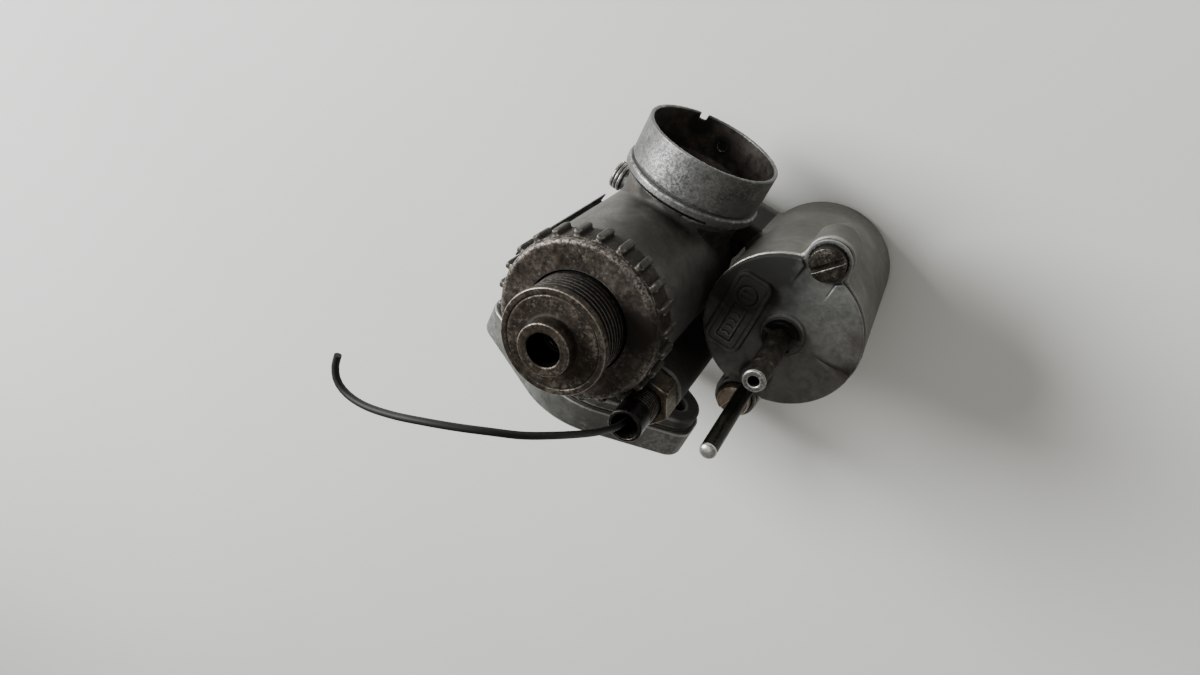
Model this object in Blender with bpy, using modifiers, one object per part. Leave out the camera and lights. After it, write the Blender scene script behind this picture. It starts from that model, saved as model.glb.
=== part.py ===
"""Slide carburettor of a small motorcycle, with a float bowl at its side.

The frame is metres with +Z up. The origin is the centre of the mounting face on the bore's axis.
The bore runs along +Y from the engine to the air intake, the float bowl lies on the +X side, and
the throttle slide, the choke plunger, the tickler and the float all move along Z.
Every size below is in millimetres and is turned into metres where a shape is made.
"""

from math import acos, asin, atan2, cos, degrees, pi, radians, sin, sqrt

import bmesh
import bpy
from mathutils import Matrix, Vector

MM = 0.001
GAP = 0.3                    # clearance between touching pieces
OBJECT_NAME = "side_bowl_carburettor"

# main bore and mixing chamber
BORE_R = 13.0
SPACER_T = 10.2
GASKET_T = 0.5
FLANGE_T = 4.0
BARREL_Y = 58.0              # from the mounting face to the axis of the throttle slide
BARREL_R = 23.2
BARREL_TOP = 47.0
NECK_R = 18.6
BEAD_R = 21.5
BEAD_Y = 84.5
SPIGOT_R = 20.8
SPIGOT_WALL = 1.3
SPIGOT_END_Y = 100.2
BARREL_BOTTOM = -33.0

# mounting flange: each outline is a middle arc and four corner arcs joined by straight lines
SPACER_OUTLINE = (26.0, (33.4, 2.4), 8.1)      # middle radius, place of a corner arc, its radius
FLANGE_OUTLINE = (25.6, (30.4, 0.6), 9.8)
STUD_X = 31.0
STUD_HOLE_R = 4.3

# throttle slide and its spring
SLIDE_R = 17.5
SLIDE_BORE_R = 17.8
SLIDE_BOTTOM = -12.6
SLIDE_TOP = 26.0
SLIDE_WALL = 1.9
SLIDE_WEB = 4.6

# ring nut and top cap
NUT_TOP = 57.3
NUT_BOTTOM = 47.3
NUT_R = 23.6
NUT_HOLE_R = 14.9
RIB_R = 25.3
RIB_COUNT = 24
RIB_FIRST = 11.0             # degrees from +X
HUB_R = 15.0
HUB_TOP = 70.7
THREAD_CREST_R = 14.3
THREAD_ROOT_R = 13.6
BOSS_R = 7.4
BOSS_BORE_R = 4.7
BOSS_TOP = 75.5
CAP_SEAT = 64.0              # the throttle spring's upper seat

# float bowl and lid
BOWL_X = 46.4
BOWL_Y = 69.9
BOWL_R = 23.4
BOWL_FOOT_R = 22.1
BOWL_INNER_R = 20.4
BOWL_TOP = 18.0
BOWL_BOTTOM = -41.5
LID_R = 23.0
LID_BOTTOM = 19.0
LID_TOP = 20.6
EAR_TOP = 19.7
EAR_R = 6.4
EAR_OFFSETS = {1: 25.1, -1: 27.2}      # from the bowl's axis to the lid screws at +Y and at -Y
EAR_HALF_WIDTH = 4.9
INLET_X = 47.2
INLET_TOP = 51.5
INLET_STEM_TOP = 44.0

# tickler
TICKLER_X = 47.4
TICKLER_Y = 54.0
TICKLER_TOP = 66.9
TICKLER_R = 2.35
TICKLER_STEM_R = 2.1

# choke
CHOKE_X = 25.7
CHOKE_Y = 40.8
CHOKE_HOUSING_R = 8.0
CHOKE_HOUSING_TOP = 37.4
CHOKE_BORE_R = 4.8
CHOKE_NUT_FLATS = 14.0
CHOKE_NUT_HEIGHT = 8.3
CHOKE_TUBE_R = 5.0
CHOKE_TUBE_BORE_R = 3.9
CHOKE_TUBE_TOP = 60.1
CABLE_R = 0.95

# adjusting screws on the -X side, and the ring nut's lock spring
SCREW_Z = -12.0
STOP_SCREW_Y = 69.7
IDLE_SCREW_Y = 46.3
SCREW_HEAD_X = -26.4
SPOT_FACE_X = -15.6
LOCK_ANGLE = 168.5           # degrees from +X, between two ribs
LOCK_R = 24.8

# bottom fittings
WELL_R = 4.2
PLUG_BORE_R = 6.2
FOOT_Z = BOWL_BOTTOM

# the bare core of the choke cable, from the plunger out through the tube
CABLE_ROUTE = [
    (25.7, 40.8, 3.6), (25.7, 40.8, 20.0), (25.7, 40.8, 40.0), (25.5, 40.9, 52.0), (24.7, 41.6, 61.5),
    (22.9, 44.5, 70.6), (20.3, 47.2, 78.9), (15.7, 50.3, 89.4), (10.2, 51.0, 96.8), (4.0, 50.3, 101.3),
    (-2.6, 48.1, 104.0), (-9.9, 44.9, 105.5), (-17.8, 40.6, 105.6), (-25.6, 36.6, 104.6),
    (-31.6, 35.1, 103.6), (-35.6, 36.2, 103.0), (-37.6, 39.2, 102.4), (-38.0, 42.4, 102.0),
]

COLOURS = {                  # material: (red, green, blue), roughness, metallic
    "cast_alloy": ((0.36, 0.36, 0.34), 0.55, 0.85),
    "lid_alloy": ((0.25, 0.25, 0.245), 0.55, 0.8),
    "patinated_nut": ((0.17, 0.14, 0.12), 0.5, 0.75),
    "patinated_cap": ((0.2, 0.17, 0.14), 0.5, 0.75),
    "dark_steel": ((0.09, 0.09, 0.075), 0.4, 0.8),
    "spring_steel": ((0.13, 0.13, 0.12), 0.4, 0.85),
    "plated_steel": ((0.33, 0.31, 0.28), 0.4, 0.85),
    "blackened_tube": ((0.06, 0.05, 0.045), 0.45, 0.7),
    "brass": ((0.52, 0.38, 0.16), 0.4, 0.9),
    "dull_brass": ((0.33, 0.28, 0.2), 0.45, 0.8),
    "fibre": ((0.08, 0.075, 0.07), 0.85, 0.0),
    "tarnished_steel": ((0.36, 0.26, 0.19), 0.45, 0.9),
}


def clear_scene():
    for old in list(bpy.data.objects):
        bpy.data.objects.remove(old, do_unlink=True)


def make_collection(name):
    collection = bpy.data.collections.new(name)
    bpy.context.scene.collection.children.link(collection)
    return collection


def make_material(name):
    colour, roughness, metallic = COLOURS[name]
    material = bpy.data.materials.new(name)
    material.use_nodes = True
    shader = material.node_tree.nodes["Principled BSDF"]
    shader.inputs["Base Color"].default_value = (*colour, 1.0)
    shader.inputs["Roughness"].default_value = roughness
    shader.inputs["Metallic"].default_value = metallic
    return material


clear_scene()
PARTS = make_collection(OBJECT_NAME)
CUTTERS = make_collection("cutters")
MATERIALS = {name: make_material(name) for name in COLOURS}
TURN = {
    "Z": (0.0, 0.0, 0.0),
    "Y": (-pi / 2, 0.0, 0.0),
    "X": (0.0, pi / 2, 0.0),
}


# ---------------------------------------------------------------- tools

def place(obj, material, at=(0, 0, 0), axis="Z"):
    """Put an object in the parts, or in the cutters where it has no material."""
    obj.location = Vector(at) * MM
    obj.rotation_euler = TURN[axis]
    if material is None:
        CUTTERS.objects.link(obj)
        obj.hide_render = True
        obj.display_type = "WIRE"
    else:
        PARTS.objects.link(obj)
        obj.data.materials.append(MATERIALS[material])
    return obj


def turned(name, profile, material=None, at=(0, 0, 0), axis="Z", steps=48, ring=False):
    """Turn (radius, height) points about an axis; the points run down the outer side."""
    points = [(r * MM, 0.0, z * MM) for r, z in profile]
    edges = [(i, i + 1) for i in range(len(points) - 1)]
    if ring:
        edges.append((len(points) - 1, 0))
    mesh = bpy.data.meshes.new(name)
    mesh.from_pydata(points, edges, [])
    obj = bpy.data.objects.new(name, mesh)
    screw = obj.modifiers.new("turn", "SCREW")
    screw.steps = steps
    screw.render_steps = steps
    screw.use_merge_vertices = True
    screw.merge_threshold = 0.00001
    screw.use_smooth_shade = True
    return place(obj, material, at, axis)


def rod(name, radius, low, high, material=None, at=(0, 0, 0), axis="Z", steps=32):
    return turned(name, [(0, high), (radius, high), (radius, low), (0, low)], material, at, axis, steps)


def pipe(name, outer, inner, low, high, material=None, at=(0, 0, 0), axis="Z", steps=32):
    profile = [(inner, high), (outer, high), (outer, low), (inner, low)]
    return turned(name, profile, material, at, axis, steps, ring=True)


def block(name, low, high, material=None):
    """A box between two corners."""
    low, high = Vector(low), Vector(high)
    bm = bmesh.new()
    bmesh.ops.create_cube(bm, size=MM)
    bmesh.ops.scale(bm, vec=high - low, verts=bm.verts)
    mesh = bpy.data.meshes.new(name)
    bm.to_mesh(mesh)
    bm.free()
    return place(bpy.data.objects.new(name, mesh), material, (low + high) / 2)


def hexagon(name, flats, low, high, material=None, at=(0, 0, 0), turn=0.0):
    bm = bmesh.new()
    corner = flats / sqrt(3) * MM
    depth = (high - low) * MM
    bmesh.ops.create_cone(bm, cap_ends=True, segments=6, radius1=corner, radius2=corner, depth=depth)
    bmesh.ops.translate(bm, vec=(0, 0, (low + high) / 2 * MM), verts=bm.verts)
    bmesh.ops.rotate(bm, matrix=Matrix.Rotation(radians(turn), 3, "Z"), verts=bm.verts)
    mesh = bpy.data.meshes.new(name)
    bm.to_mesh(mesh)
    bm.free()
    return place(bpy.data.objects.new(name, mesh), material, at)


def evaluated_copy(source, name, material):
    """Make a mesh of an evaluated object, weld it, and put it where the source was."""
    bpy.context.view_layer.update()
    graph = bpy.context.evaluated_depsgraph_get()
    mesh = bpy.data.meshes.new_from_object(source.evaluated_get(graph))
    bm = bmesh.new()
    bm.from_mesh(mesh)
    bmesh.ops.remove_doubles(bm, verts=bm.verts, dist=0.000005)
    bm.to_mesh(mesh)
    bm.free()
    mesh.materials.clear()
    matrix = source.matrix_world.copy()
    bpy.data.objects.remove(source, do_unlink=True)
    obj = place(bpy.data.objects.new(name, mesh), material)
    obj.matrix_world = matrix
    return obj


def plate(name, outlines, low, high, material=None, at=(0, 0, 0), axis="Z"):
    """Extrude a flat outline, with any holes as further outlines, between two heights."""
    curve = bpy.data.curves.new(name, "CURVE")
    curve.dimensions = "2D"
    curve.fill_mode = "BOTH"
    curve.extrude = (high - low) / 2 * MM
    for outline in outlines:
        spline = curve.splines.new("POLY")
        spline.points.add(len(outline) - 1)
        for point, (x, y) in zip(spline.points, outline):
            point.co = (x * MM, y * MM, 0.0, 1.0)
        spline.use_cyclic_u = True
    flat = bpy.data.objects.new(name + "_outline", curve)
    bpy.context.scene.collection.objects.link(flat)
    flat.rotation_euler = TURN[axis]
    middle = Vector((0, 0, (low + high) / 2))
    middle.rotate(flat.rotation_euler)
    flat.location = (Vector(at) + middle) * MM
    return evaluated_copy(flat, name, material)


def wire(name, points, radius, material):
    """A round wire along points given in millimetres."""
    curve = bpy.data.curves.new(name, "CURVE")
    curve.dimensions = "3D"
    curve.bevel_depth = radius * MM
    curve.bevel_resolution = 1
    curve.use_fill_caps = True
    spline = curve.splines.new("POLY")
    spline.points.add(len(points) - 1)
    for point, co in zip(spline.points, points):
        point.co = (*(Vector(co) * MM), 1.0)
    return place(bpy.data.objects.new(name, curve), material)


def coil_points(centre, radius, low, high, turns, axis="Z", per_turn=8):
    """Points along a coil spring whose two end turns lie flat."""
    points = []
    total = turns * per_turn
    for i in range(total + 1):
        turn = i / per_turn
        share = min(max((turn - 0.75) / (turns - 1.5), 0.0), 1.0)
        a, b = radius * cos(2 * pi * turn), radius * sin(2 * pi * turn)
        height = low + (high - low) * share
        offset = (a, b, height) if axis == "Z" else (height, a, b)
        points.append(Vector(centre) + Vector(offset))
    return points


def boolean(obj, operation, *others):
    """Join shapes to an object or cut them from it, all in one step."""
    group = bpy.data.collections.new(f"{obj.name}_{operation.lower()}")
    CUTTERS.children.link(group)
    for other in others:
        CUTTERS.objects.unlink(other)
        group.objects.link(other)
    modifier = obj.modifiers.new(group.name, "BOOLEAN")
    modifier.operation = operation
    modifier.solver = "EXACT"
    modifier.operand_type = "COLLECTION"
    modifier.collection = group
    return obj


def cut(obj, *others):
    return boolean(obj, "DIFFERENCE", *others)


def join(obj, *others):
    return boolean(obj, "UNION", *others)


def arc(centre, radius, start, stop, count):
    """Points of an arc between two angles in degrees, both ends included."""
    angles = [radians(start + (stop - start) * i / (count - 1)) for i in range(count)]
    return [(centre[0] + radius * cos(a), centre[1] + radius * sin(a)) for a in angles]


def circle(centre, radius, count=32):
    return arc(centre, radius, 0, 360 - 360 / count, count)


def smooth_route(points, spacing):
    """Evenly spaced points on a smooth curve through the route's own points."""
    knots = [Vector(p) for p in points]
    knots = [2 * knots[0] - knots[1]] + knots + [2 * knots[-1] - knots[-2]]
    dense = []
    for a, b, c, d in zip(knots, knots[1:], knots[2:], knots[3:]):
        for i in range(20):
            t = i / 20
            dense.append(0.5 * (2 * b + (c - a) * t + (2 * a - 5 * b + 4 * c - d) * t ** 2
                                + (3 * b - a - 3 * c + d) * t ** 3))
    dense.append(knots[-2])
    route = [dense[0]]
    for point in dense[1:-1]:
        if (point - route[-1]).length >= spacing:
            route.append(point)
    return route + [dense[-1]]


# ---------------------------------------------------------------- castings

def flange_outline(middle_r, corner, corner_r):
    """The outline of the two-stud flange: x to the sides, y up."""
    across, up = corner
    reach = Vector(corner).length
    lean = degrees(atan2(up, across)) + 90 - degrees(asin((middle_r - corner_r) / reach))
    right = arc((across, -up), corner_r, -lean, 0, 6) + arc((across, up), corner_r, 0, lean, 6)
    top = arc((0, 0), middle_r, lean, 180 - lean, 9)
    left = arc((-across, up), corner_r, 180 - lean, 180, 6)
    left += arc((-across, -up), corner_r, 180, 180 + lean, 6)
    bottom = arc((0, 0), middle_r, 180 + lean, 360 - lean, 9)
    return right + top + left + bottom


def flange_plate(name, shape, near, far, material):
    holes = [circle((0, 0), BORE_R, 32)]
    holes += [circle((x, 0), STUD_HOLE_R, 16) for x in (STUD_X, -STUD_X)]
    return plate(name, [flange_outline(*shape)] + holes, near, far, material, axis="Y")


def make_body():
    near = SPACER_T + GASKET_T + 2 * GAP
    far = near + FLANGE_T
    barrel_at = (0, BARREL_Y, 0)
    choke_at = (CHOKE_X, CHOKE_Y, 0)
    bowl_at = (BOWL_X, BOWL_Y, 0)
    body = turned("carburettor_body", [
        (0, 52), (21.3, 52), (21.3, BARREL_TOP), (BARREL_R - 0.5, BARREL_TOP), (BARREL_R, BARREL_TOP - 0.5),
        (BARREL_R, -8), (22.0, -13), (19.5, -17), (15.0, -20), (12.0, -22),
        (12.0, BARREL_BOTTOM), (0, BARREL_BOTTOM),
    ], "cast_alloy", barrel_at, steps=40)
    tube = turned("bore_tube", [
        (0, SPIGOT_END_Y), (SPIGOT_R, SPIGOT_END_Y), (SPIGOT_R, 87.3), (BEAD_R, 86.9), (BEAD_R, BEAD_Y),
        (20.9, 84.0), (NECK_R, 83.6), (NECK_R, 13), (0, 13),
    ], axis="Y", steps=40)
    flange = plate("flange_plate", [flange_outline(*FLANGE_OUTLINE)], near, far, axis="Y")
    housing = turned("choke_housing", [
        (0, CHOKE_HOUSING_TOP), (7.4, CHOKE_HOUSING_TOP), (CHOKE_HOUSING_R, CHOKE_HOUSING_TOP - 0.6),
        (CHOKE_HOUSING_R, -18), (6, -20), (0, -20),
    ], at=choke_at, steps=28)
    web = block("choke_web", (11.3, 34.6, -15.1), (24.1, 46.4, 27.3))
    arm = block("bowl_arm", (-3.2, BOWL_Y + 2.6, -34), (32, BOWL_Y + 10.1, -10))
    arm_root = block("arm_root", (-2.4, 59.3, -31.7), (7.7, 76.1, -11.4))
    arm_shoulder = block("arm_shoulder", (5.3, 66.8, -33), (21.8, 74.6, -11.6))
    rim = plate("bowl_rim", [lid_outline(BOWL_R, EAR_R + 0.4)], BOWL_TOP - 9, BOWL_TOP, at=bowl_at)
    bowl = turned("bowl_wall", [
        (0, BOWL_TOP - 2.5), (BOWL_R - 0.3, BOWL_TOP - 2.5), (BOWL_FOOT_R, BOWL_BOTTOM + 2.5),
        (BOWL_FOOT_R - 0.8, BOWL_BOTTOM + 0.7), (BOWL_FOOT_R - 2.5, BOWL_BOTTOM), (0, BOWL_BOTTOM),
    ], at=bowl_at, steps=40)
    ears = [
        turned("bowl_ear", [(0, 12.3), (6.3, 12.3), (6.3, 7.4), (3.4, -6.2), (0, -6.2)],
               at=(BOWL_X, BOWL_Y + side * offset, 0), steps=20)
        for side, offset in EAR_OFFSETS.items()
    ]
    ear_web = block("ear_web", (BOWL_X - 2.6, BOWL_Y - 26.0, -4.0), (BOWL_X + 2.6, BOWL_Y - 21.5, 12.0))
    idle_boss = rod("idle_jet_boss", 4.0, -23, -14, at=(-8.5, 76, 0), steps=16)
    pad = block("lock_pad", (22.4, -3.2, -4.0), (24.5, 3.2, 4.6))
    turn_about_barrel(pad, LOCK_ANGLE)
    join(body, tube, flange, housing, web, arm, arm_root, arm_shoulder, bowl, rim, *ears, ear_web,
         idle_boss, pad)

    spigot_bore = SPIGOT_R - SPIGOT_WALL
    main_bore = turned("main_bore", [
        (0, 110), (spigot_bore, 110), (spigot_bore, 88), (spigot_bore - 0.6, 86), (BORE_R + 1.2, 76),
        (BORE_R, 70), (BORE_R, -5), (0, -5),
    ], axis="Y", steps=40)
    slide_bore = turned("slide_bore", [
        (0, 60), (SLIDE_BORE_R, 60), (SLIDE_BORE_R, SLIDE_BOTTOM - 0.6), (0, SLIDE_BOTTOM - 0.6),
    ], at=barrel_at, steps=40)
    bowl_room = turned("bowl_room", [
        (0, 30), (BOWL_INNER_R, 30), (BOWL_INNER_R, BOWL_BOTTOM + 5), (BOWL_INNER_R - 2, BOWL_BOTTOM + 3),
        (0, BOWL_BOTTOM + 3),
    ], at=bowl_at, steps=28)
    choke_bore = turned("choke_bore", [
        (0, 40), (CHOKE_TUBE_R + GAP, 40), (CHOKE_TUBE_R + GAP, 23.5), (CHOKE_BORE_R, 23.5),
        (CHOKE_BORE_R, -15), (0, -15),
    ], at=choke_at, steps=20)
    stud_holes = [rod("stud_hole", STUD_HOLE_R, 5, 20, at=(x, 0, 0), axis="Y", steps=16)
                  for x in (STUD_X, -STUD_X)]
    well = rod("jet_well", WELL_R, -30, -5, at=barrel_at, steps=20)
    plug_hole = rod("plug_hole", PLUG_BORE_R, -40, -22, at=barrel_at, steps=20)
    lid_holes = [
        rod("lid_screw_hole", 2.7, 3, 25, at=(BOWL_X, BOWL_Y + side * offset, 0), steps=16)
        for side, offset in EAR_OFFSETS.items()
    ]
    screw_holes = [rod("screw_hole", 2.3, -30, -10, at=(0, y, SCREW_Z), axis="X", steps=16)
                   for y in (STOP_SCREW_Y, IDLE_SCREW_Y)]
    spot_faces = [rod("spot_face", 4.8, -30, SPOT_FACE_X, at=(0, y, SCREW_Z), axis="X", steps=20)
                  for y in (STOP_SCREW_Y, IDLE_SCREW_Y)]
    fuel_ways = [
        rod("fuel_way_across", 1.6, 2.5, 30, at=(0, BOWL_Y + 6.3, -24.5), axis="X", steps=12),
        rod("fuel_way_along", 1.6, BARREL_Y, BOWL_Y + 7.4, at=(2.5, 0, -24.5), axis="Y", steps=12),
    ]
    choke_way = rod("choke_way", 2.4, 8, 24, at=(0, CHOKE_Y, -9), axis="X", steps=12)
    idle_way = rod("idle_jet_hole", 2.3, -30, -12, at=(-8.5, 76, 0), steps=16)
    air_hole = rod("air_inlet_hole", 1.4, -20.2, -16, at=(-0.8, 93.3, 0), steps=12)
    rivet_hole = rod("rivet_hole", 1.7, 21, 27, at=(0, 0, 0.5), axis="X", steps=12)
    turn_about_barrel(rivet_hole, LOCK_ANGLE)
    rim_notch = block("rim_notch", (-10.9, SPIGOT_END_Y - 1.2, -24), (-9.3, SPIGOT_END_Y + 2, -15))
    cut(body, main_bore, slide_bore, bowl_room, choke_bore, *stud_holes, well, plug_hole, *lid_holes,
        *screw_holes, *spot_faces, *fuel_ways, choke_way, idle_way, air_hole, rivet_hole, rim_notch)


def turn_about_barrel(obj, angle):
    """Move an object modelled about the world's Z axis on +X to an angle about the barrel's axis."""
    turn = Matrix.Translation((0, BARREL_Y * MM, 0)) @ Matrix.Rotation(radians(angle), 4, "Z")
    bpy.context.view_layer.update()
    obj.matrix_world = turn @ obj.matrix_world


def make_mounting():
    flange_plate("flange_spacer", SPACER_OUTLINE, 0, SPACER_T, "cast_alloy")
    flange_plate("flange_gasket", FLANGE_OUTLINE, SPACER_T + GAP, SPACER_T + GAP + GASKET_T, "fibre")


# ---------------------------------------------------------------- top of the mixing chamber

def make_ring_nut():
    """The nut's skirt with its grip ribs, and the plate that holds the cap down."""
    step = 360 / RIB_COUNT
    outline = []
    for i in range(RIB_COUNT):
        middle = RIB_FIRST + i * step
        for radius, offset in ((NUT_R, -3.0), (RIB_R, -1.6), (RIB_R, 1.6), (NUT_R, 3.0)):
            a = radians(middle + offset)
            outline.append((radius * cos(a), radius * sin(a)))
    at = (0, BARREL_Y, 0)
    skirt = plate("ring_nut", [outline, circle((0, 0), 21.8, 36)], NUT_BOTTOM, 55.4, "patinated_nut", at)
    top = turned("nut_plate", [
        (NUT_HOLE_R, NUT_TOP), (22.3, NUT_TOP), (22.9, 57.0), (23.2, 56.3), (23.2, 54.6), (NUT_HOLE_R, 54.6),
    ], at=at, steps=60, ring=True)
    join(skirt, top)


def make_top_cap():
    thread = []
    ridge = HUB_TOP - 2.2
    while ridge > 58.2:
        thread += [(THREAD_ROOT_R, ridge), (THREAD_CREST_R, ridge - 0.85)]
        ridge -= 1.7
    turned("top_cap", [
        (BOSS_BORE_R, BOSS_TOP), (BOSS_R - 0.5, BOSS_TOP), (BOSS_R, BOSS_TOP - 0.5), (BOSS_R, HUB_TOP),
        (HUB_R - 0.4, HUB_TOP), (HUB_R, HUB_TOP - 0.4), (HUB_R, HUB_TOP - 2.2),
    ] + thread + [
        (THREAD_ROOT_R, 54.3), (21.3, 54.3), (21.3, 52.3), (11.0, 52.3), (11.0, CAP_SEAT),
        (3.2, CAP_SEAT), (3.2, CAP_SEAT + 1), (BOSS_BORE_R, CAP_SEAT + 2.5),
    ], "patinated_cap", (0, BARREL_Y, 0), steps=32, ring=True)


def make_lock_spring():
    """A flat spring whose tip lies between two ribs, so that the ring nut can't turn by itself."""
    strip = block("lock_spring", (LOCK_R, -2.6, -3.0), (LOCK_R + 0.6, 2.6, 45.0), "spring_steel")
    tip = block("lock_spring_tip", (LOCK_R, -1.6, 44.0), (LOCK_R + 0.6, 1.6, 51.5))
    hole = rod("lock_spring_hole", 1.7, 20, 30, at=(0, 0, 0.5), axis="X", steps=16)
    rivet = turned("lock_spring_rivet", [(0, LOCK_R + 0.6), (1.4, LOCK_R + 0.6), (1.4, 21.5), (0, 21.5)],
                   "spring_steel", (0, 0, 0.5), "X", steps=16)
    for piece in (strip, tip, hole, rivet):
        turn_about_barrel(piece, LOCK_ANGLE)
    join(strip, tip)
    cut(strip, hole)


# ---------------------------------------------------------------- throttle

def make_throttle():
    at = (0, BARREL_Y, 0)
    web_top = SLIDE_BOTTOM + SLIDE_WEB
    slide = turned("throttle_slide", [
        (SLIDE_R - SLIDE_WALL, SLIDE_TOP), (SLIDE_R, SLIDE_TOP), (SLIDE_R, SLIDE_BOTTOM), (1.6, SLIDE_BOTTOM),
        (1.6, web_top), (SLIDE_R - SLIDE_WALL, web_top),
    ], "plated_steel", at, steps=32, ring=True)
    cutaway = block("slide_cutaway", (-20, BARREL_Y + 4, SLIDE_BOTTOM - 6), (20, BARREL_Y + 30, SLIDE_BOTTOM))
    cutaway.rotation_euler.x = radians(12)
    cut(slide, cutaway)
    turned("jet_needle", [
        (0, -3.0), (0.9, -3.0), (1.25, -3.4), (1.25, -5.0), (0.9, -5.0), (0.9, -6.0), (1.25, -6.0),
        (1.25, -16.0), (0.6, -30.6), (0, -30.6),
    ], "dull_brass", at, steps=16)
    clip = pipe("needle_clip", 3.4, 1.05, -5.8, -5.2, "spring_steel", at, steps=20)
    clip_mouth = block("clip_mouth", (-0.9, BARREL_Y, -7), (0.9, BARREL_Y + 5, -4))
    cut(clip, clip_mouth)
    spring = coil_points(at, 9.2, web_top + 1.0, CAP_SEAT - 1.0, 7, per_turn=10)
    wire("throttle_spring", spring, 0.7, "spring_steel")


def make_jets():
    at = (0, BARREL_Y, 0)
    turned("needle_jet", [
        (1.5, -13.4), (WELL_R - GAP, -13.4), (WELL_R - GAP, -31.0), (1.5, -31.0),
    ], "brass", at, steps=16, ring=True)
    turned("main_jet", [
        (0.7, -31.4), (2.8, -31.4), (3.2, -31.8), (3.2, -35.2), (0.7, -35.2),
    ], "brass", at, steps=14, ring=True)
    washer_top = BARREL_BOTTOM - GAP
    pipe("plug_washer", 10.4, 6.5, washer_top - 1.0, washer_top, "fibre", at, steps=24)
    plug = hexagon("bottom_plug", 19.0, FOOT_Z, washer_top - 1.0 - GAP, "dull_brass", at, turn=15)
    stem = turned("plug_stem", [(0, -27.5), (5.9, -27.5), (5.9, -36), (0, -36)], at=at, steps=20)
    room = turned("plug_room", [(0, -20), (4.4, -20), (4.4, -36), (2.4, -38.5), (0, -38.5)], at=at, steps=16)
    join(plug, stem)
    cut(plug, room)
    idle_at = (-8.5, 76, 0)
    idle = turned("idle_jet", [
        (0, -15.5), (1.4, -15.5), (2.0, -16.2), (2.0, -23.3), (3.1, -23.3), (3.1, -25.2), (0, -25.2),
    ], "brass", idle_at, steps=14)
    cut(idle, block("idle_jet_slot", (-13, 75.6, -26), (-4, 76.4, -24.6)))


# ---------------------------------------------------------------- float bowl

def lid_outline(radius, ear):
    """A disc with one ear at each end along Y, about the bowl's axis."""
    ends = []
    for offset in (EAR_OFFSETS[1], EAR_OFFSETS[-1]):
        reach = acos((radius ** 2 + offset ** 2 - ear ** 2) / (2 * radius * offset))
        ends.append((degrees(reach), degrees(atan2(radius * cos(reach) - offset, radius * sin(reach)))))
    (upper, upper_tip), (lower, lower_tip) = ends
    right = arc((0, 0), radius, lower - 90, 90 - upper, 19)
    top = arc((0, EAR_OFFSETS[1]), ear, upper_tip, 180 - upper_tip, 11)
    left = arc((0, 0), radius, 90 + upper, 270 - lower, 19)
    bottom = arc((0, -EAR_OFFSETS[-1]), ear, 180 + lower_tip, 360 - lower_tip, 11)
    return right + top + left + bottom


def rounded_outline(half_x, half_y, radius):
    corners = ((1, -1, -90), (1, 1, 0), (-1, 1, 90), (-1, -1, 180))
    outline = []
    for side, end, start in corners:
        outline += arc((side * (half_x - radius), end * (half_y - radius)), radius, start, start + 90, 5)
    return outline


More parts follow.
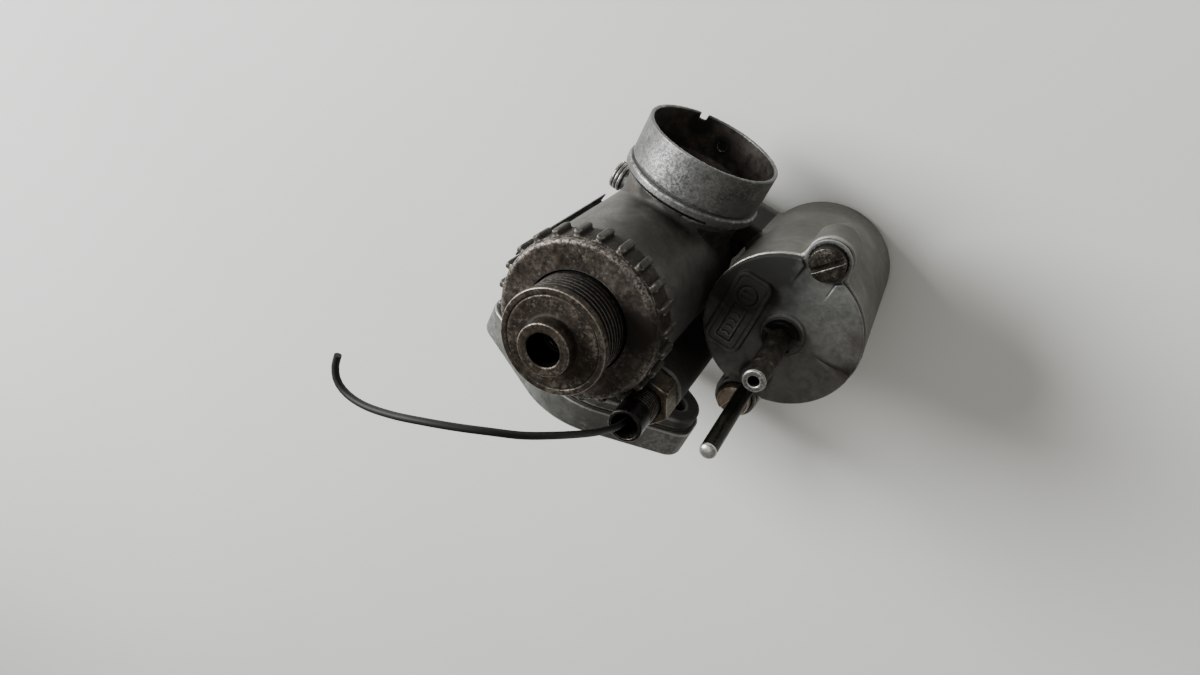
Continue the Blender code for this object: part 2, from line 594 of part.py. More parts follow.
def make_lid():
    """The lid is pierced where its fuel inlet and its tickler guide are set in, then joined to both."""
    at = (BOWL_X, BOWL_Y, 0)
    screw_holes = [circle((0, side * offset), 2.7, 16) for side, offset in EAR_OFFSETS.items()]
    plate("bowl_gasket", [lid_outline(LID_R, EAR_R - 0.2), circle((0, 0), BOWL_INNER_R, 36)] + screw_holes,
          BOWL_TOP + GAP, LID_BOTTOM - GAP, "fibre", at)
    inlet_hole = circle((INLET_X - BOWL_X, 0), 5.0, 22)
    guide_hole = circle((TICKLER_X - BOWL_X, TICKLER_Y - BOWL_Y), 3.9, 14)
    lid = plate("bowl_lid", [lid_outline(LID_R, EAR_R), inlet_hole, guide_hole] + screw_holes,
                LID_BOTTOM, LID_TOP, "lid_alloy", at)
    inlet = turned("inlet_stem", [
        (3.6, INLET_STEM_TOP), (4.0, INLET_STEM_TOP), (4.3, INLET_STEM_TOP - 0.3), (5.5, 21.3), (5.9, 21.3),
        (5.9, 19.7), (7.0, 19.5), (7.0, 12.6), (6.4, 12), (4.0, 12), (4.0, 18.7), (1.5, 18.9), (1.5, 24),
        (3.6, 24),
    ], at=(INLET_X, BOWL_Y, 0), steps=24, ring=True)
    guide = turned("tickler_guide", [
        (2.65, 24), (3.7, 24), (4.0, 23.6), (4.2, 20.2), (4.1, 19.7), (4.1, 10), (2.4, 10), (2.4, 10.6),
        (3.4, 10.7), (3.4, 22.3), (2.65, 22.4),
    ], at=(TICKLER_X, TICKLER_Y, 0), steps=16, ring=True)
    emblem = plate("emblem_plate", [rounded_outline(5.6, 12.7, 3.0)], 20.1, 22.4, at=(33.3, 68.4, 0))
    emblem.rotation_euler.z = radians(0.8)
    join(lid, inlet, guide, emblem)
    ear_steps = []
    for side, start in ((1, 20.3), (-1, 20.4)):
        near, far = sorted((BOWL_Y + side * start, BOWL_Y + side * 40))
        ear_steps.append(block("ear_step", (BOWL_X - EAR_HALF_WIDTH, near, EAR_TOP),
                               (BOWL_X + EAR_HALF_WIDTH, far, 26)))
        head_at = (BOWL_X, BOWL_Y + side * 29.0, 0)
        ear_steps.append(rod("head_room", EAR_R + 3, EAR_TOP, 26, at=head_at, steps=24))
    ramp = block("ear_ramp", (BOWL_X - EAR_HALF_WIDTH, BOWL_Y + 14.5, 20.1),
                 (BOWL_X + EAR_HALF_WIDTH, BOWL_Y + 20.6, 24.1))
    ramp.rotation_euler.x = radians(-8.5)
    groove = block("lid_groove", (56, BOWL_Y - 2.2, 20.4), (76, BOWL_Y + 1.2, 23.8))
    groove.rotation_euler = (radians(45), radians(6.3), 0)
    cut(lid, *ear_steps, ramp, groove)
    for name, side, turn, material in (("lid_screw_intake_side", 1, 51.5, "plated_steel"),
                                       ("lid_screw_engine_side", -1, 74.5, "tarnished_steel")):
        screw_at = (BOWL_X, BOWL_Y + side * EAR_OFFSETS[side], 0)
        screw = turned(name, [
            (0, 23.1), (4.5, 23.1), (5.05, 22.6), (5.05, 20.0), (2.4, 20.0), (2.4, 5.0), (1.8, 4.2), (0, 4.2),
        ], material, screw_at, steps=20)
        slot = block(name + "_slot", (-6, -0.75, 21.6), (6, 0.75, 24))
        slot.location = (Vector(screw_at) + Vector((0, 0, 22.8))) * MM
        slot.rotation_euler.z = radians(turn)
        cut(screw, slot)


def make_fuel_valve():
    at = (INLET_X, BOWL_Y, 0)
    turned("inlet_nipple", [
        (1.6, INLET_TOP), (2.95, INLET_TOP), (3.25, INLET_TOP - 0.4), (3.25, INLET_TOP - 1.3),
        (3.0, INLET_TOP - 2.0), (3.0, 44.6), (3.3, 44.2), (3.3, 24.3), (1.6, 24.3),
    ], "plated_steel", at, steps=20, ring=True)
    turned("needle_seat", [
        (1.4, 18.6), (3.7, 18.6), (3.7, 10.6), (2.6, 9.9), (1.5, 9.9), (1.5, 14.0),
    ], "brass", at, steps=20, ring=True)
    wall = 0.5
    top, bottom, radius = -3.0, -38.2, 17.6
    turned("float", [
        (0, top), (radius - 1, top), (radius, top - 1), (radius, bottom + 1), (radius - 1, bottom),
        (0.7, bottom), (0.7, bottom + wall), (radius - 1.2, bottom + wall), (radius - wall, bottom + 1.2),
        (radius - wall, top - 1.2), (radius - 1.2, top - wall), (0, top - wall),
    ], "brass", at, steps=28)
    turned("float_needle", [
        (0, 9.4), (0.5, 9.0), (1.2, 7.2), (1.2, -0.4), (2.4, -0.4), (2.4, -2.7), (0, -2.7),
    ], "dull_brass", at, steps=12)


def make_tickler():
    at = (TICKLER_X, TICKLER_Y, 0)
    dome = [(TICKLER_R * sin(radians(a)), TICKLER_TOP - 1.4 + 1.4 * cos(radians(a)))
            for a in range(0, 91, 30)]
    turned("tickler_rod", dome + [
        (TICKLER_R, 21.9), (3.2, 21.9), (3.2, 21.0), (TICKLER_STEM_R, 21.0), (TICKLER_STEM_R, 6.2),
        (1.7, 5.8), (0, 5.8),
    ], "dark_steel", at, steps=16)
    wire("tickler_spring", coil_points(at, 2.85, 11.2, 20.4, 5), 0.3, "spring_steel")


# ---------------------------------------------------------------- choke

def make_choke():
    at = (CHOKE_X, CHOKE_Y, 0)
    turned("choke_plunger", [
        (0, 3.2), (3.9, 3.2), (4.5, 2.6), (4.5, -12.6), (3.9, -13.2), (0, -13.2),
    ], "brass", at, steps=24)
    wire("choke_spring", coil_points(at, 3.7, 3.9, 23.2, 6), 0.35, "spring_steel")
    nut_low = CHOKE_HOUSING_TOP + GAP
    nut_high = nut_low + CHOKE_NUT_HEIGHT
    nut = hexagon("choke_lock_nut", CHOKE_NUT_FLATS, nut_low, nut_high, "dull_brass", at, turn=26)
    cut(nut, rod("nut_thread", CHOKE_TUBE_R + GAP, 30, 50, at=at, steps=20))
    turned("choke_cable_tube", [
        (CHOKE_TUBE_BORE_R, CHOKE_TUBE_TOP), (CHOKE_TUBE_R - 0.3, CHOKE_TUBE_TOP),
        (CHOKE_TUBE_R, CHOKE_TUBE_TOP - 0.3), (CHOKE_TUBE_R, 24), (3.0, 24), (3.0, 25),
        (CHOKE_TUBE_BORE_R, 26),
    ], "blackened_tube", at, steps=20, ring=True)
    wire("choke_cable", smooth_route(CABLE_ROUTE, 3.6), CABLE_R, "dark_steel")


# ---------------------------------------------------------------- adjusting screws

def make_adjusters():
    for name, y in (("throttle_stop", STOP_SCREW_Y), ("idle_air", IDLE_SCREW_Y)):
        at = (0, y, SCREW_Z)
        screw = turned(name + "_screw", [
            (0, -14.0), (0.8, -14.0), (2.0, -15.4), (2.0, -20.3), (4.0, -20.3), (4.0, -22.6), (4.8, -22.9),
            (4.8, SCREW_HEAD_X + 0.4), (4.4, SCREW_HEAD_X), (0, SCREW_HEAD_X),
        ], "plated_steel", at, "X", steps=18)
        slot = block(name + "_slot", (SCREW_HEAD_X - 1, y - 6, SCREW_Z - 0.5),
                     (SCREW_HEAD_X + 1.1, y + 6, SCREW_Z + 0.5))
        cut(screw, slot)
        spring = coil_points(at, 2.9, -19.6, SPOT_FACE_X - 0.65, 4, axis="X")
        wire(name + "_spring", spring, 0.35, "spring_steel")


make_body()
make_mounting()
make_ring_nut()
make_top_cap()
make_lock_spring()
make_throttle()
make_jets()
make_lid()
make_fuel_valve()
make_tickler()
make_choke()
make_adjusters()
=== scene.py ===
"""Looks of the slide carburettor: detailed pieces, worn metal, a pale table and soft daylight.

Lengths are in millimetres in the frame of the CAD model until a mesh is made, which is in metres.
Each detailed piece is the zero surface of a distance field, so its edges and fillets are rounded as
a casting's or a worn turned part's are, and how sharply it bends is kept for edge wear and grime.
"""

from math import cos, pi, radians, sin

import bpy
import numpy as np
from mathutils import Matrix, Vector


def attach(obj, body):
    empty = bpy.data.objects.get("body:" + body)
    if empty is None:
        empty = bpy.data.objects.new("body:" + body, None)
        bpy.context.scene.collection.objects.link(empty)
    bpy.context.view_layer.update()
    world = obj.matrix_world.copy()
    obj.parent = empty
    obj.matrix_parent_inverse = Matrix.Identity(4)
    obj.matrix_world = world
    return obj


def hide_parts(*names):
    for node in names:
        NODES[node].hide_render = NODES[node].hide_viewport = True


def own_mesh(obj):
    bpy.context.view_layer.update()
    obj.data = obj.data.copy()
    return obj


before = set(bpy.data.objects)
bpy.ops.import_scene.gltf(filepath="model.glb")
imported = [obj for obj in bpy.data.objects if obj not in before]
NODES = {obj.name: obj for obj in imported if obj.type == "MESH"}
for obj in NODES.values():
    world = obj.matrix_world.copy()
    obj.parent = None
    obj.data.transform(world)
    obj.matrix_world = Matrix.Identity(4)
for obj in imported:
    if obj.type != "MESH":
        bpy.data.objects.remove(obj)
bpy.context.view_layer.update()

MM = 0.001
HELD = "carburettor"

# shared places and sizes, in millimetres; every axis named here is upright
BARREL_Y = 58.0
BARREL = (0, BARREL_Y)
BOWL = (46.4, 69.9)
INLET = (47.2, 69.9)
TICKLER = (47.4, 54.0)
CHOKE = (25.7, 40.8)
EARS = {1: 25.1, -1: 27.2}  # from the bowl's axis to a lid screw, on the intake and the engine side
STOP_Y = 69.7
AIR_Y = 46.3
ADJUSTER_Z = -12
BOSS = (-8.5, 76)  # the idle jet's, under the neck
BORE_R = 13
STUD_X = 31
STUD_HOLE_R = 4.3
EAR_HOLE_R = 2.7
STEM_LOW, STEM_HIGH = 22.5, 43.0  # the part of the inlet stem painted dark as shade
NIPPLE_RIM_Z = 50.9
TICKLER_DOME_Z = 65.4
SPIGOT_RIM_Y = 99.2
FLOOR_Z = -41.5


# -------------------- camera and cord

def make_camera():
    """A phone's wide camera, above the intake side and rolled far over."""
    data = bpy.data.cameras.new("camera")
    data.sensor_width = 36
    data.lens = 24.96
    data.clip_start = 0.01
    right = Vector((0.8187, 0.3922, -0.4194)).normalized()
    back = Vector((0.152, 0.5563, 0.817)).normalized()
    right = (right - back * right.dot(back)).normalized()
    up = back.cross(right)
    camera = bpy.data.objects.new("camera", data)
    camera.matrix_world = Matrix.Translation(Vector((41.2, 180.7, 236.6)) * MM) @ Matrix(
        (right, up, back)).transposed().to_4x4()
    bpy.context.scene.collection.objects.link(camera)
    bpy.context.scene.camera = camera


CABLE_R = 0.95
CABLE_ROUTE = [
    (25.7, 40.8, 3.6), (25.7, 40.8, 20.0), (25.7, 40.8, 40.0), (25.5, 40.9, 52.0), (24.7, 41.6, 61.5),
    (22.9, 44.5, 70.6), (20.3, 47.2, 78.9), (15.7, 50.3, 89.4), (10.2, 51.0, 96.8), (4.0, 50.3, 101.3),
    (-2.6, 48.1, 104.0), (-9.9, 44.9, 105.5), (-17.8, 40.6, 105.6), (-25.6, 36.6, 104.6),
    (-31.6, 35.1, 103.6), (-35.6, 36.2, 103.0), (-37.6, 39.2, 102.4), (-38.0, 42.4, 102.0),
]


def smooth_route(points, spacing):
    """Evenly spaced points on a smooth curve through the route's own points."""
    knots = [Vector(p) for p in points]
    knots = [2 * knots[0] - knots[1]] + knots + [2 * knots[-1] - knots[-2]]
    dense = []
    for a, b, c, d in zip(knots, knots[1:], knots[2:], knots[3:]):
        for i in range(20):
            t = i / 20
            dense.append(0.5 * (2 * b + (c - a) * t + (2 * a - 5 * b + 4 * c - d) * t ** 2
                                + (3 * b - a - 3 * c + d) * t ** 3))
    dense.append(knots[-2])
    route = [dense[0]]
    for point in dense[1:-1]:
        if (point - route[-1]).length >= spacing:
            route.append(point)
    return route + [dense[-1]]


def line_piece(name, points, radius, material, resolution):
    """A round wire along points given in millimetres."""
    curve = bpy.data.curves.new(name, "CURVE")
    curve.dimensions = "3D"
    curve.bevel_depth = radius * MM
    curve.bevel_resolution = resolution
    curve.use_fill_caps = True
    spline = curve.splines.new("POLY")
    spline.points.add(len(points) - 1)
    for point, co in zip(spline.points, points):
        point.co = (*(Vector(co) * MM), 1.0)
    spline.use_smooth = True
    curve.materials.append(material)
    obj = bpy.data.objects.new(name, curve)
    bpy.context.scene.collection.objects.link(obj)
    return obj


def make_cable():
    route = smooth_route(CABLE_ROUTE, 1.5)
    cable = line_piece("choke_cable_core", route, CABLE_R, MATERIALS["black_wire"], resolution=5)
    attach(cable, "choke")
    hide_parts("choke_cable")


# -------------------- materials

class Nodes:
    """Short calls for building one material's node tree."""

    def __init__(self, name):
        self.material = bpy.data.materials.new(name)
        self.material.use_nodes = True
        self.tree = self.material.node_tree
        self.shader = self.tree.nodes["Principled BSDF"]
        self.place = self.add("ShaderNodeTexCoord").outputs["Object"]

    def add(self, kind, **settings):
        node = self.tree.nodes.new(kind)
        for key, value in settings.items():
            setattr(node, key, value)
        return node

    def link(self, source, target):
        self.tree.links.new(source, target)

    def feed(self, socket, value):
        if hasattr(value, "is_linked"):
            self.link(value, socket)
        else:
            socket.default_value = value

    def noise(self, size, detail=4.0, rough=0.55, stretch=(1, 1, 1), warp=0.0):
        """Noise whose blobs are about size millimetres wide."""
        mapping = self.add("ShaderNodeMapping")
        self.link(self.place, mapping.inputs["Vector"])
        mapping.inputs["Scale"].default_value = stretch
        node = self.add("ShaderNodeTexNoise")
        self.link(mapping.outputs["Vector"], node.inputs["Vector"])
        node.inputs["Scale"].default_value = 1000.0 / size
        node.inputs["Detail"].default_value = detail
        node.inputs["Roughness"].default_value = rough
        node.inputs["Distortion"].default_value = warp
        return node.outputs["Fac"]

    def ramp(self, value, *stops):
        """Map a value to greys or colours at stops of (place, value)."""
        node = self.add("ShaderNodeValToRGB")
        self.link(value, node.inputs["Fac"])
        elements = node.color_ramp.elements
        while len(elements) < len(stops):
            elements.new(0.5)
        for element, (place, colour) in zip(elements, stops):
            element.position = place
            element.color = (*(colour if isinstance(colour, tuple) else (colour,) * 3), 1.0)
        return node.outputs["Color"]

    def maths(self, operation, a, b, clamp=False):
        node = self.add("ShaderNodeMath", operation=operation, use_clamp=clamp)
        self.feed(node.inputs[0], a)
        self.feed(node.inputs[1], b)
        return node.outputs[0]

    def plus(self, a, b):
        return self.maths("ADD", a, b)

    def minus(self, a, b, clamp=False):
        return self.maths("SUBTRACT", a, b, clamp)

    def times(self, a, b):
        return self.maths("MULTIPLY", a, b)

    def larger(self, a, b):
        return self.maths("MAXIMUM", a, b)

    def mix(self, factor, a, b):
        """Blend two colours by a factor."""
        node = self.add("ShaderNodeMix", data_type="RGBA")
        self.feed(node.inputs["Factor"], factor)
        for socket, value in ((node.inputs[6], a), (node.inputs[7], b)):
            self.feed(socket, (*value, 1.0) if isinstance(value, tuple) else value)
        return node.outputs[2]

    def bend(self):
        """The piece's own measure of bending: 0.5 is flat, 1 a convex edge, 0 a corner inside."""
        return self.add("ShaderNodeAttribute", attribute_name="bend").outputs["Fac"]

    def crevice(self, distance):
        """1 in the open and 0 deep in a crevice about distance millimetres wide."""
        node = self.add("ShaderNodeAmbientOcclusion", samples=6)
        node.inputs["Distance"].default_value = distance * MM
        return node.outputs["AO"]

    def near(self, point, reach, fade, ragged):
        """1 within reach of a point and 0 beyond reach + fade, with an edge as ragged as a noise."""
        apart = self.add("ShaderNodeVectorMath", operation="DISTANCE")
        self.link(self.place, apart.inputs[0])
        apart.inputs[1].default_value = Vector(point) * MM
        away = self.times(apart.outputs["Value"], 1000.0)
        wander = self.times(self.minus(self.noise(5.0), 0.5), ragged)
        away = self.plus(away, wander)
        return self.maths("DIVIDE", self.minus(reach + fade, away), fade, clamp=True)

    def bump(self, height, depth, strength=1.0):
        node = self.add("ShaderNodeBump")
        self.link(height, node.inputs["Height"])
        node.inputs["Distance"].default_value = depth * MM
        node.inputs["Strength"].default_value = strength
        self.link(node.outputs["Normal"], self.shader.inputs["Normal"])


GRIME_SHARE = 0.8  # how far dirt hides the metal where it is thickest


def worn_metal(name, dark, mid, light, worn, grime, rough=(0.38, 0.7), patch=9.0, grain=0.5, depth=0.12,
               grime_reach=4.0, wear=0.62, metallic=0.85, speckle=0.35,
               streak=(1, 1, 1), stains_and_shade=(), rubbed_and_highlit=(), tints=(), rim=None):
    """Metal with blotches, grain, bright worn edges, pale speckles, dirt in its corners, oily stains and
    painted shade.

    Stains and painted shade darken a place, rubbed places and painted highlights turn to bright specks,
    tints give a place a colour, and beyond a rim's reach everything is rubbed. Each is a point, a reach,
    a fade, a strength and, for a tint, a colour, in millimetres.
    """
    n = Nodes(name)
    blotch = n.noise(patch, 5.0, 0.6, streak, 0.4)
    fine = n.noise(grain, 3.0, 0.6, streak)
    middle = n.noise(patch / 4, 6.0, 0.65, streak, 0.2)
    base = n.ramp(n.plus(n.times(blotch, 0.55), n.times(middle, 0.45)),
                  (0.36, dark), (0.5, mid), (0.64, light))
    base = n.mix(n.ramp(fine, (0.3, 0.35), (0.55, 0.0)), base, dark)
    edge = n.plus(n.bend(), n.times(n.minus(middle, 0.5), 0.5))
    edge = n.ramp(edge, (wear, 0.0), (min(wear + 0.16, 1.0), 1.0))
    pale = n.ramp(n.times(n.noise(patch * 1.3, 3.0), n.noise(grain * 2.6, 2.0, 0.7)),
                  (0.30, 0.0), (0.36, speckle))
    bright = n.larger(edge, pale)
    crystals = n.ramp(n.noise(0.8, 5.0, 0.75), (0.47, 0.0), (0.53, 1.0))
    for point, reach, fade, strength in rubbed_and_highlit:
        share = n.times(n.near(point, reach, fade, fade), strength)
        bright = n.larger(bright, n.times(crystals, share))
    if rim:
        point, reach, fade, strength = rim
        beyond = n.minus(1.0, n.near(point, reach, fade, fade * 1.5))
        rubbed = n.times(beyond, n.times(crystals, strength))
        bright = n.larger(bright, rubbed)
    colour = n.mix(bright, base, worn)
    for point, reach, fade, strength, tint in tints:
        share = n.times(n.near(point, reach, fade, fade * 1.5), strength)
        colour = n.mix(share, colour, tint)
    uneven = n.times(n.minus(blotch, 0.5), 0.7)
    hollow = n.ramp(n.plus(n.crevice(grime_reach), uneven), (0.45, GRIME_SHARE), (0.85, 0.0))
    inner = n.ramp(n.bend(), (0.28, GRIME_SHARE), (0.46, 0.0))
    dirt_and_shade = n.larger(hollow, inner)
    for point, reach, fade, strength in stains_and_shade:
        dirt_and_shade = n.larger(dirt_and_shade, n.times(n.near(point, reach, fade, fade), strength))
    # the grime colour paints the dirt and the painted shade alike
    colour = n.mix(dirt_and_shade, colour, grime)
    n.link(colour, n.shader.inputs["Base Color"])
    spread = n.ramp(n.plus(n.times(middle, 0.6), n.times(fine, 0.4)),
                    (0.35, rough[0]), (0.65, rough[1]))
    spread = n.mix(n.times(bright, 0.6), spread, (rough[0] * 0.8,) * 3)
    spread = n.mix(dirt_and_shade, spread, (min(rough[1] + 0.15, 1.0),) * 3)
    n.link(spread, n.shader.inputs["Roughness"])
    metal = n.minus(metallic, n.times(dirt_and_shade, metallic * 0.8), clamp=True)
    n.link(metal, n.shader.inputs["Metallic"])
    height = n.plus(n.times(fine, 0.35), n.times(middle, 0.65))
    n.bump(height, depth)
    return n.material


def make_materials():
    table = {}
    table["cast"] = worn_metal(
        "cast_alloy_worn", (0.072, 0.07, 0.064), (0.122, 0.118, 0.11), (0.18, 0.175, 0.165),
        (0.42, 0.42, 0.41), (0.014, 0.012, 0.01), rough=(0.42, 0.66), patch=11, grain=0.45,
        depth=0.11, grime_reach=7.0, metallic=0.8, speckle=0.1,
        stains_and_shade=(
            ((27, 38, 22), 12, 16, 0.9),  # around the choke housing
            ((38, 16, 0), 8, 10, 0.85),  # painted shade on the flange behind it
            ((24, 62, 30), 10, 16, 0.6),  # painted shade on the barrel towards the bowl
            ((6, 84, 36), 6, 13, 0.55),  # painted shade on the barrel above the neck
            ((24, 77, -11), 17, 4, 0.96),  # painted shade on the arm
            ((32, 36, 30), 4, 9, 0.6),  # painted shade on the housing beside its nut
            ((-8, 84, 17), 3, 3, 0.9),  # painted shade and dirt in the corner behind the bead
            ((2, 84.4, 19), 3, 2.5, 0.95),  # the same painted shade and dirt, further on
            ((19, 72, -2), 7, 6, 0.9),  # painted shade on the neck's side over the arm
        ))
    table["spigot"] = worn_metal(
        "cast_alloy_bright", (0.11, 0.11, 0.108), (0.178, 0.178, 0.175), (0.235, 0.235, 0.232),
        (0.64, 0.64, 0.63), (0.016, 0.014, 0.012), rough=(0.34, 0.58), patch=7, grain=0.4,
        depth=0.14, grime_reach=3.0, wear=0.68, speckle=0.25, metallic=0.85,
        rubbed_and_highlit=(
            ((-5, 93, 20), 4, 8, 0.45),  # painted highlight on the top, towards the window
            ((9, 93, 18), 4, 6, 0.2),  # painted highlight on the top, towards the bowl
        ),
        stains_and_shade=(
            ((21, 92, 8), 6, 14, 0.4),  # painted shade on the side towards the bowl
            ((-9.5, 98, -18), 1.5, 2.5, 0.8),  # the notch in the rim
        ))
    # oily metal, painted dark as the shade inside the bores and the air hole
    table["bore"] = worn_metal(
        "oily_bore_painted_shade", (0.03, 0.025, 0.022), (0.065, 0.055, 0.048), (0.11, 0.095, 0.083),
        (0.2, 0.17, 0.155), (0.006, 0.005, 0.004), rough=(0.35, 0.65), patch=8, grain=0.6,
        depth=0.05, metallic=0.6, speckle=0.15,
        stains_and_shade=(
            ((-10.1, 97.0, -17), 3.2, 2.4, 1.0),  # inside the notch
            ((-0.8, 93.6, -19.5), 2.6, 1.8, 1.0),  # around the air hole
        ))
    table["bowl"] = worn_metal(
        "cast_alloy_warm", (0.112, 0.106, 0.094), (0.172, 0.164, 0.147), (0.225, 0.216, 0.197),
        (0.42, 0.41, 0.39), (0.022, 0.017, 0.012), rough=(0.42, 0.66), patch=12, grain=0.5,
        depth=0.08, grime_reach=5.0, metallic=0.8, speckle=0.1,
        stains_and_shade=(
            ((70, 76, -2), 16, 22, 0.5),  # painted shade on the side away from the barrel
            ((52, 96, 4), 10, 16, 0.4),  # the intake-side ear
        ))
    table["lid"] = worn_metal(
        "lid_alloy_worn", (0.1, 0.1, 0.096), (0.155, 0.155, 0.149), (0.21, 0.21, 0.202),
        (0.33, 0.33, 0.32), (0.005, 0.0045, 0.004), rough=(0.45, 0.7), patch=8, grain=0.4,
        depth=0.07, grime_reach=3.0, wear=0.72, metallic=0.75, speckle=0.12,
        stains_and_shade=(
            ((27, 82, 21), 13, 13, 0.95),  # painted shade on the edge by the barrel
            ((47, 70, 34), 11, 5, 0.93),  # painted shade on the inlet stem
            ((30, 66, 23), 8, 12, 0.35),  # the raised plate
        ),
        tints=(
            ((69, 70.8, 20), 1.5, 3.5, 0.7, (0.035, 0.02, 0.013)),  # oil on the edge
            ((65, 79.5, 20), 1, 4, 0.5, (0.06, 0.04, 0.03)),  # oil on the edge, nearer the ear
            ((38.4, 79.6, 22.4), 0.8, 1.6, 0.6, (0.09, 0.02, 0.018)),  # a trace of paint
        ))
    table["flange"] = worn_metal(
        "flange_alloy", (0.1, 0.1, 0.095), (0.15, 0.15, 0.143), (0.195, 0.195, 0.186),
        (0.4, 0.4, 0.39), (0.022, 0.02, 0.017), rough=(0.45, 0.72), patch=14, grain=0.5,
        depth=0.06, metallic=0.75)
    table["nut"] = worn_metal(
        "patina_nut", (0.02, 0.014, 0.012), (0.058, 0.046, 0.038), (0.13, 0.11, 0.093),
        (0.36, 0.33, 0.3), (0.012, 0.008, 0.005), rough=(0.35, 0.7), patch=5, grain=0.5,
        depth=0.14, grime_reach=3.0, wear=0.72, metallic=0.75, speckle=0.3,
        rim=((0, BARREL_Y, 57), 21.3, 1.0, 0.55),
        stains_and_shade=(
            ((15.5, 66, 57), 5, 6, 0.97),  # painted shadow of the hub on the face on the bowl side
            ((4, 76, 57), 2, 7, 0.25),  # the face towards the intake
        ),
        rubbed_and_highlit=(
            ((2, 37, 57), 5, 7, 0.4),  # the face on the engine side
        ))
    table["rib"] = worn_metal(
        "nut_rib_worn", (0.03, 0.028, 0.023), (0.065, 0.061, 0.052), (0.115, 0.108, 0.095),
        (0.2, 0.19, 0.17), (0.012, 0.009, 0.006), rough=(0.4, 0.7), patch=4, grain=0.5,
        depth=0.12, grime_reach=2.0, wear=0.78, metallic=0.75, speckle=0.2)
    table["grip"] = worn_metal(
        "nut_grip_grime", (0.013, 0.009, 0.006), (0.026, 0.019, 0.013), (0.05, 0.038, 0.028),
        (0.09, 0.075, 0.06), (0.008, 0.006, 0.004), rough=(0.45, 0.75), patch=4, grain=0.5,
        depth=0.1, metallic=0.5, wear=0.8)
    # dark thread, also painted as shade in the cable boss's bore, on the inlet stem and around the screw
    # heads
    table["thread"] = worn_metal(
        "dark_thread_and_painted_shade", (0.003, 0.0026, 0.0022), (0.006, 0.005, 0.0045), (0.012, 0.01, 0.0085),
        (0.13, 0.11, 0.095), (0.0015, 0.0015, 0.0015), rough=(0.3, 0.6), patch=4, grain=0.4,
        depth=0.03, grime_reach=2.0, wear=0.8, metallic=0.7, speckle=0.0)
    table["cap"] = worn_metal(
        "patina_cap", (0.02, 0.015, 0.011), (0.047, 0.037, 0.028), (0.098, 0.08, 0.063),
        (0.3, 0.27, 0.235), (0.01, 0.007, 0.005), rough=(0.38, 0.7), patch=4, grain=0.45,
        depth=0.14, grime_reach=2.5, wear=0.72, metallic=0.75, speckle=0.3)
    table["dark_steel"] = worn_metal(
        "olive_steel", (0.006, 0.006, 0.0045), (0.014, 0.014, 0.01), (0.035, 0.034, 0.026),
        (0.3, 0.29, 0.27), (0.004, 0.004, 0.003), rough=(0.25, 0.5), patch=5, grain=0.3,
        depth=0.03, metallic=0.8, streak=(1, 1, 0.15), speckle=0.1)
    table["bright_steel"] = worn_metal(
        "rubbed_steel", (0.3, 0.3, 0.29), (0.48, 0.48, 0.47), (0.62, 0.62, 0.6),
        (0.85, 0.85, 0.84), (0.05, 0.045, 0.04), rough=(0.25, 0.45), patch=1.5, grain=0.3,
        depth=0.03, metallic=0.9)
    table["spring"] = worn_metal(
        "spring_steel_dark", (0.035, 0.033, 0.03), (0.065, 0.062, 0.058), (0.11, 0.107, 0.1),
        (0.3, 0.3, 0.3), (0.014, 0.012, 0.01), rough=(0.3, 0.5), patch=5, grain=0.3, depth=0.02,
        metallic=0.9)
    table["steel"] = worn_metal(
        "zinc_plated_steel", (0.09, 0.083, 0.077), (0.175, 0.168, 0.158), (0.27, 0.262, 0.25),
        (0.6, 0.59, 0.57), (0.02, 0.016, 0.012), rough=(0.3, 0.6), patch=3, grain=0.25,
        depth=0.05, grime_reach=1.5, metallic=0.85)
    table["screw_steel"] = worn_metal(
        "dull_screw_steel", (0.011, 0.009, 0.0065), (0.025, 0.021, 0.016), (0.07, 0.06, 0.049),
        (0.26, 0.24, 0.21), (0.004, 0.0035, 0.003), rough=(0.4, 0.7), patch=3, grain=0.3,
        depth=0.08, grime_reach=1.5, wear=0.74, metallic=0.75, speckle=0.3)
    table["tan_steel"] = worn_metal(
        "tarnished_steel", (0.14, 0.1, 0.075), (0.27, 0.21, 0.165), (0.38, 0.31, 0.25),
        (0.7, 0.6, 0.52), (0.03, 0.02, 0.012), rough=(0.3, 0.55), patch=3, grain=0.25,
        depth=0.05, grime_reach=1.5, metallic=0.85)
    # black steel of the choke tube, also painted as shade in the crease behind the bead and under it
    table["tube"] = worn_metal(
        "black_oily_steel_and_painted_shade", (0.003, 0.0027, 0.0025), (0.007, 0.006, 0.0055), (0.02, 0.016, 0.013),
        (0.16, 0.13, 0.11), (0.002, 0.002, 0.002), rough=(0.25, 0.5), patch=3, grain=0.3,
        depth=0.05, wear=0.78, metallic=0.5, speckle=0.3)
    table["brass"] = worn_metal(
        "machined_brass", (0.3, 0.2, 0.08), (0.48, 0.34, 0.14), (0.6, 0.44, 0.2),
        (0.8, 0.66, 0.38), (0.08, 0.05, 0.02), rough=(0.25, 0.5), patch=6, grain=0.3,
        depth=0.02, metallic=0.9)
    table["old_brass"] = worn_metal(
        "dull_brass", (0.045, 0.036, 0.026), (0.12, 0.1, 0.072), (0.23, 0.195, 0.14),
        (0.5, 0.45, 0.36), (0.008, 0.006, 0.004), rough=(0.3, 0.6), patch=3.5, grain=0.3,
        depth=0.06, grime_reach=2.0, metallic=0.8, wear=0.7, streak=(1, 1, 0.4),
        stains_and_shade=(
            ((20, 45, 44), 5, 4, 0.95),  # the side of the lock nut towards the barrel
        ))
    table["black_wire"] = worn_metal(
        "black_wire", (0.006, 0.006, 0.006), (0.011, 0.01, 0.01), (0.025, 0.022, 0.02),
        (0.08, 0.065, 0.055), (0.004, 0.004, 0.004), rough=(0.28, 0.5), patch=6, grain=0.4,
        depth=0.03, metallic=0.5, speckle=0.5)
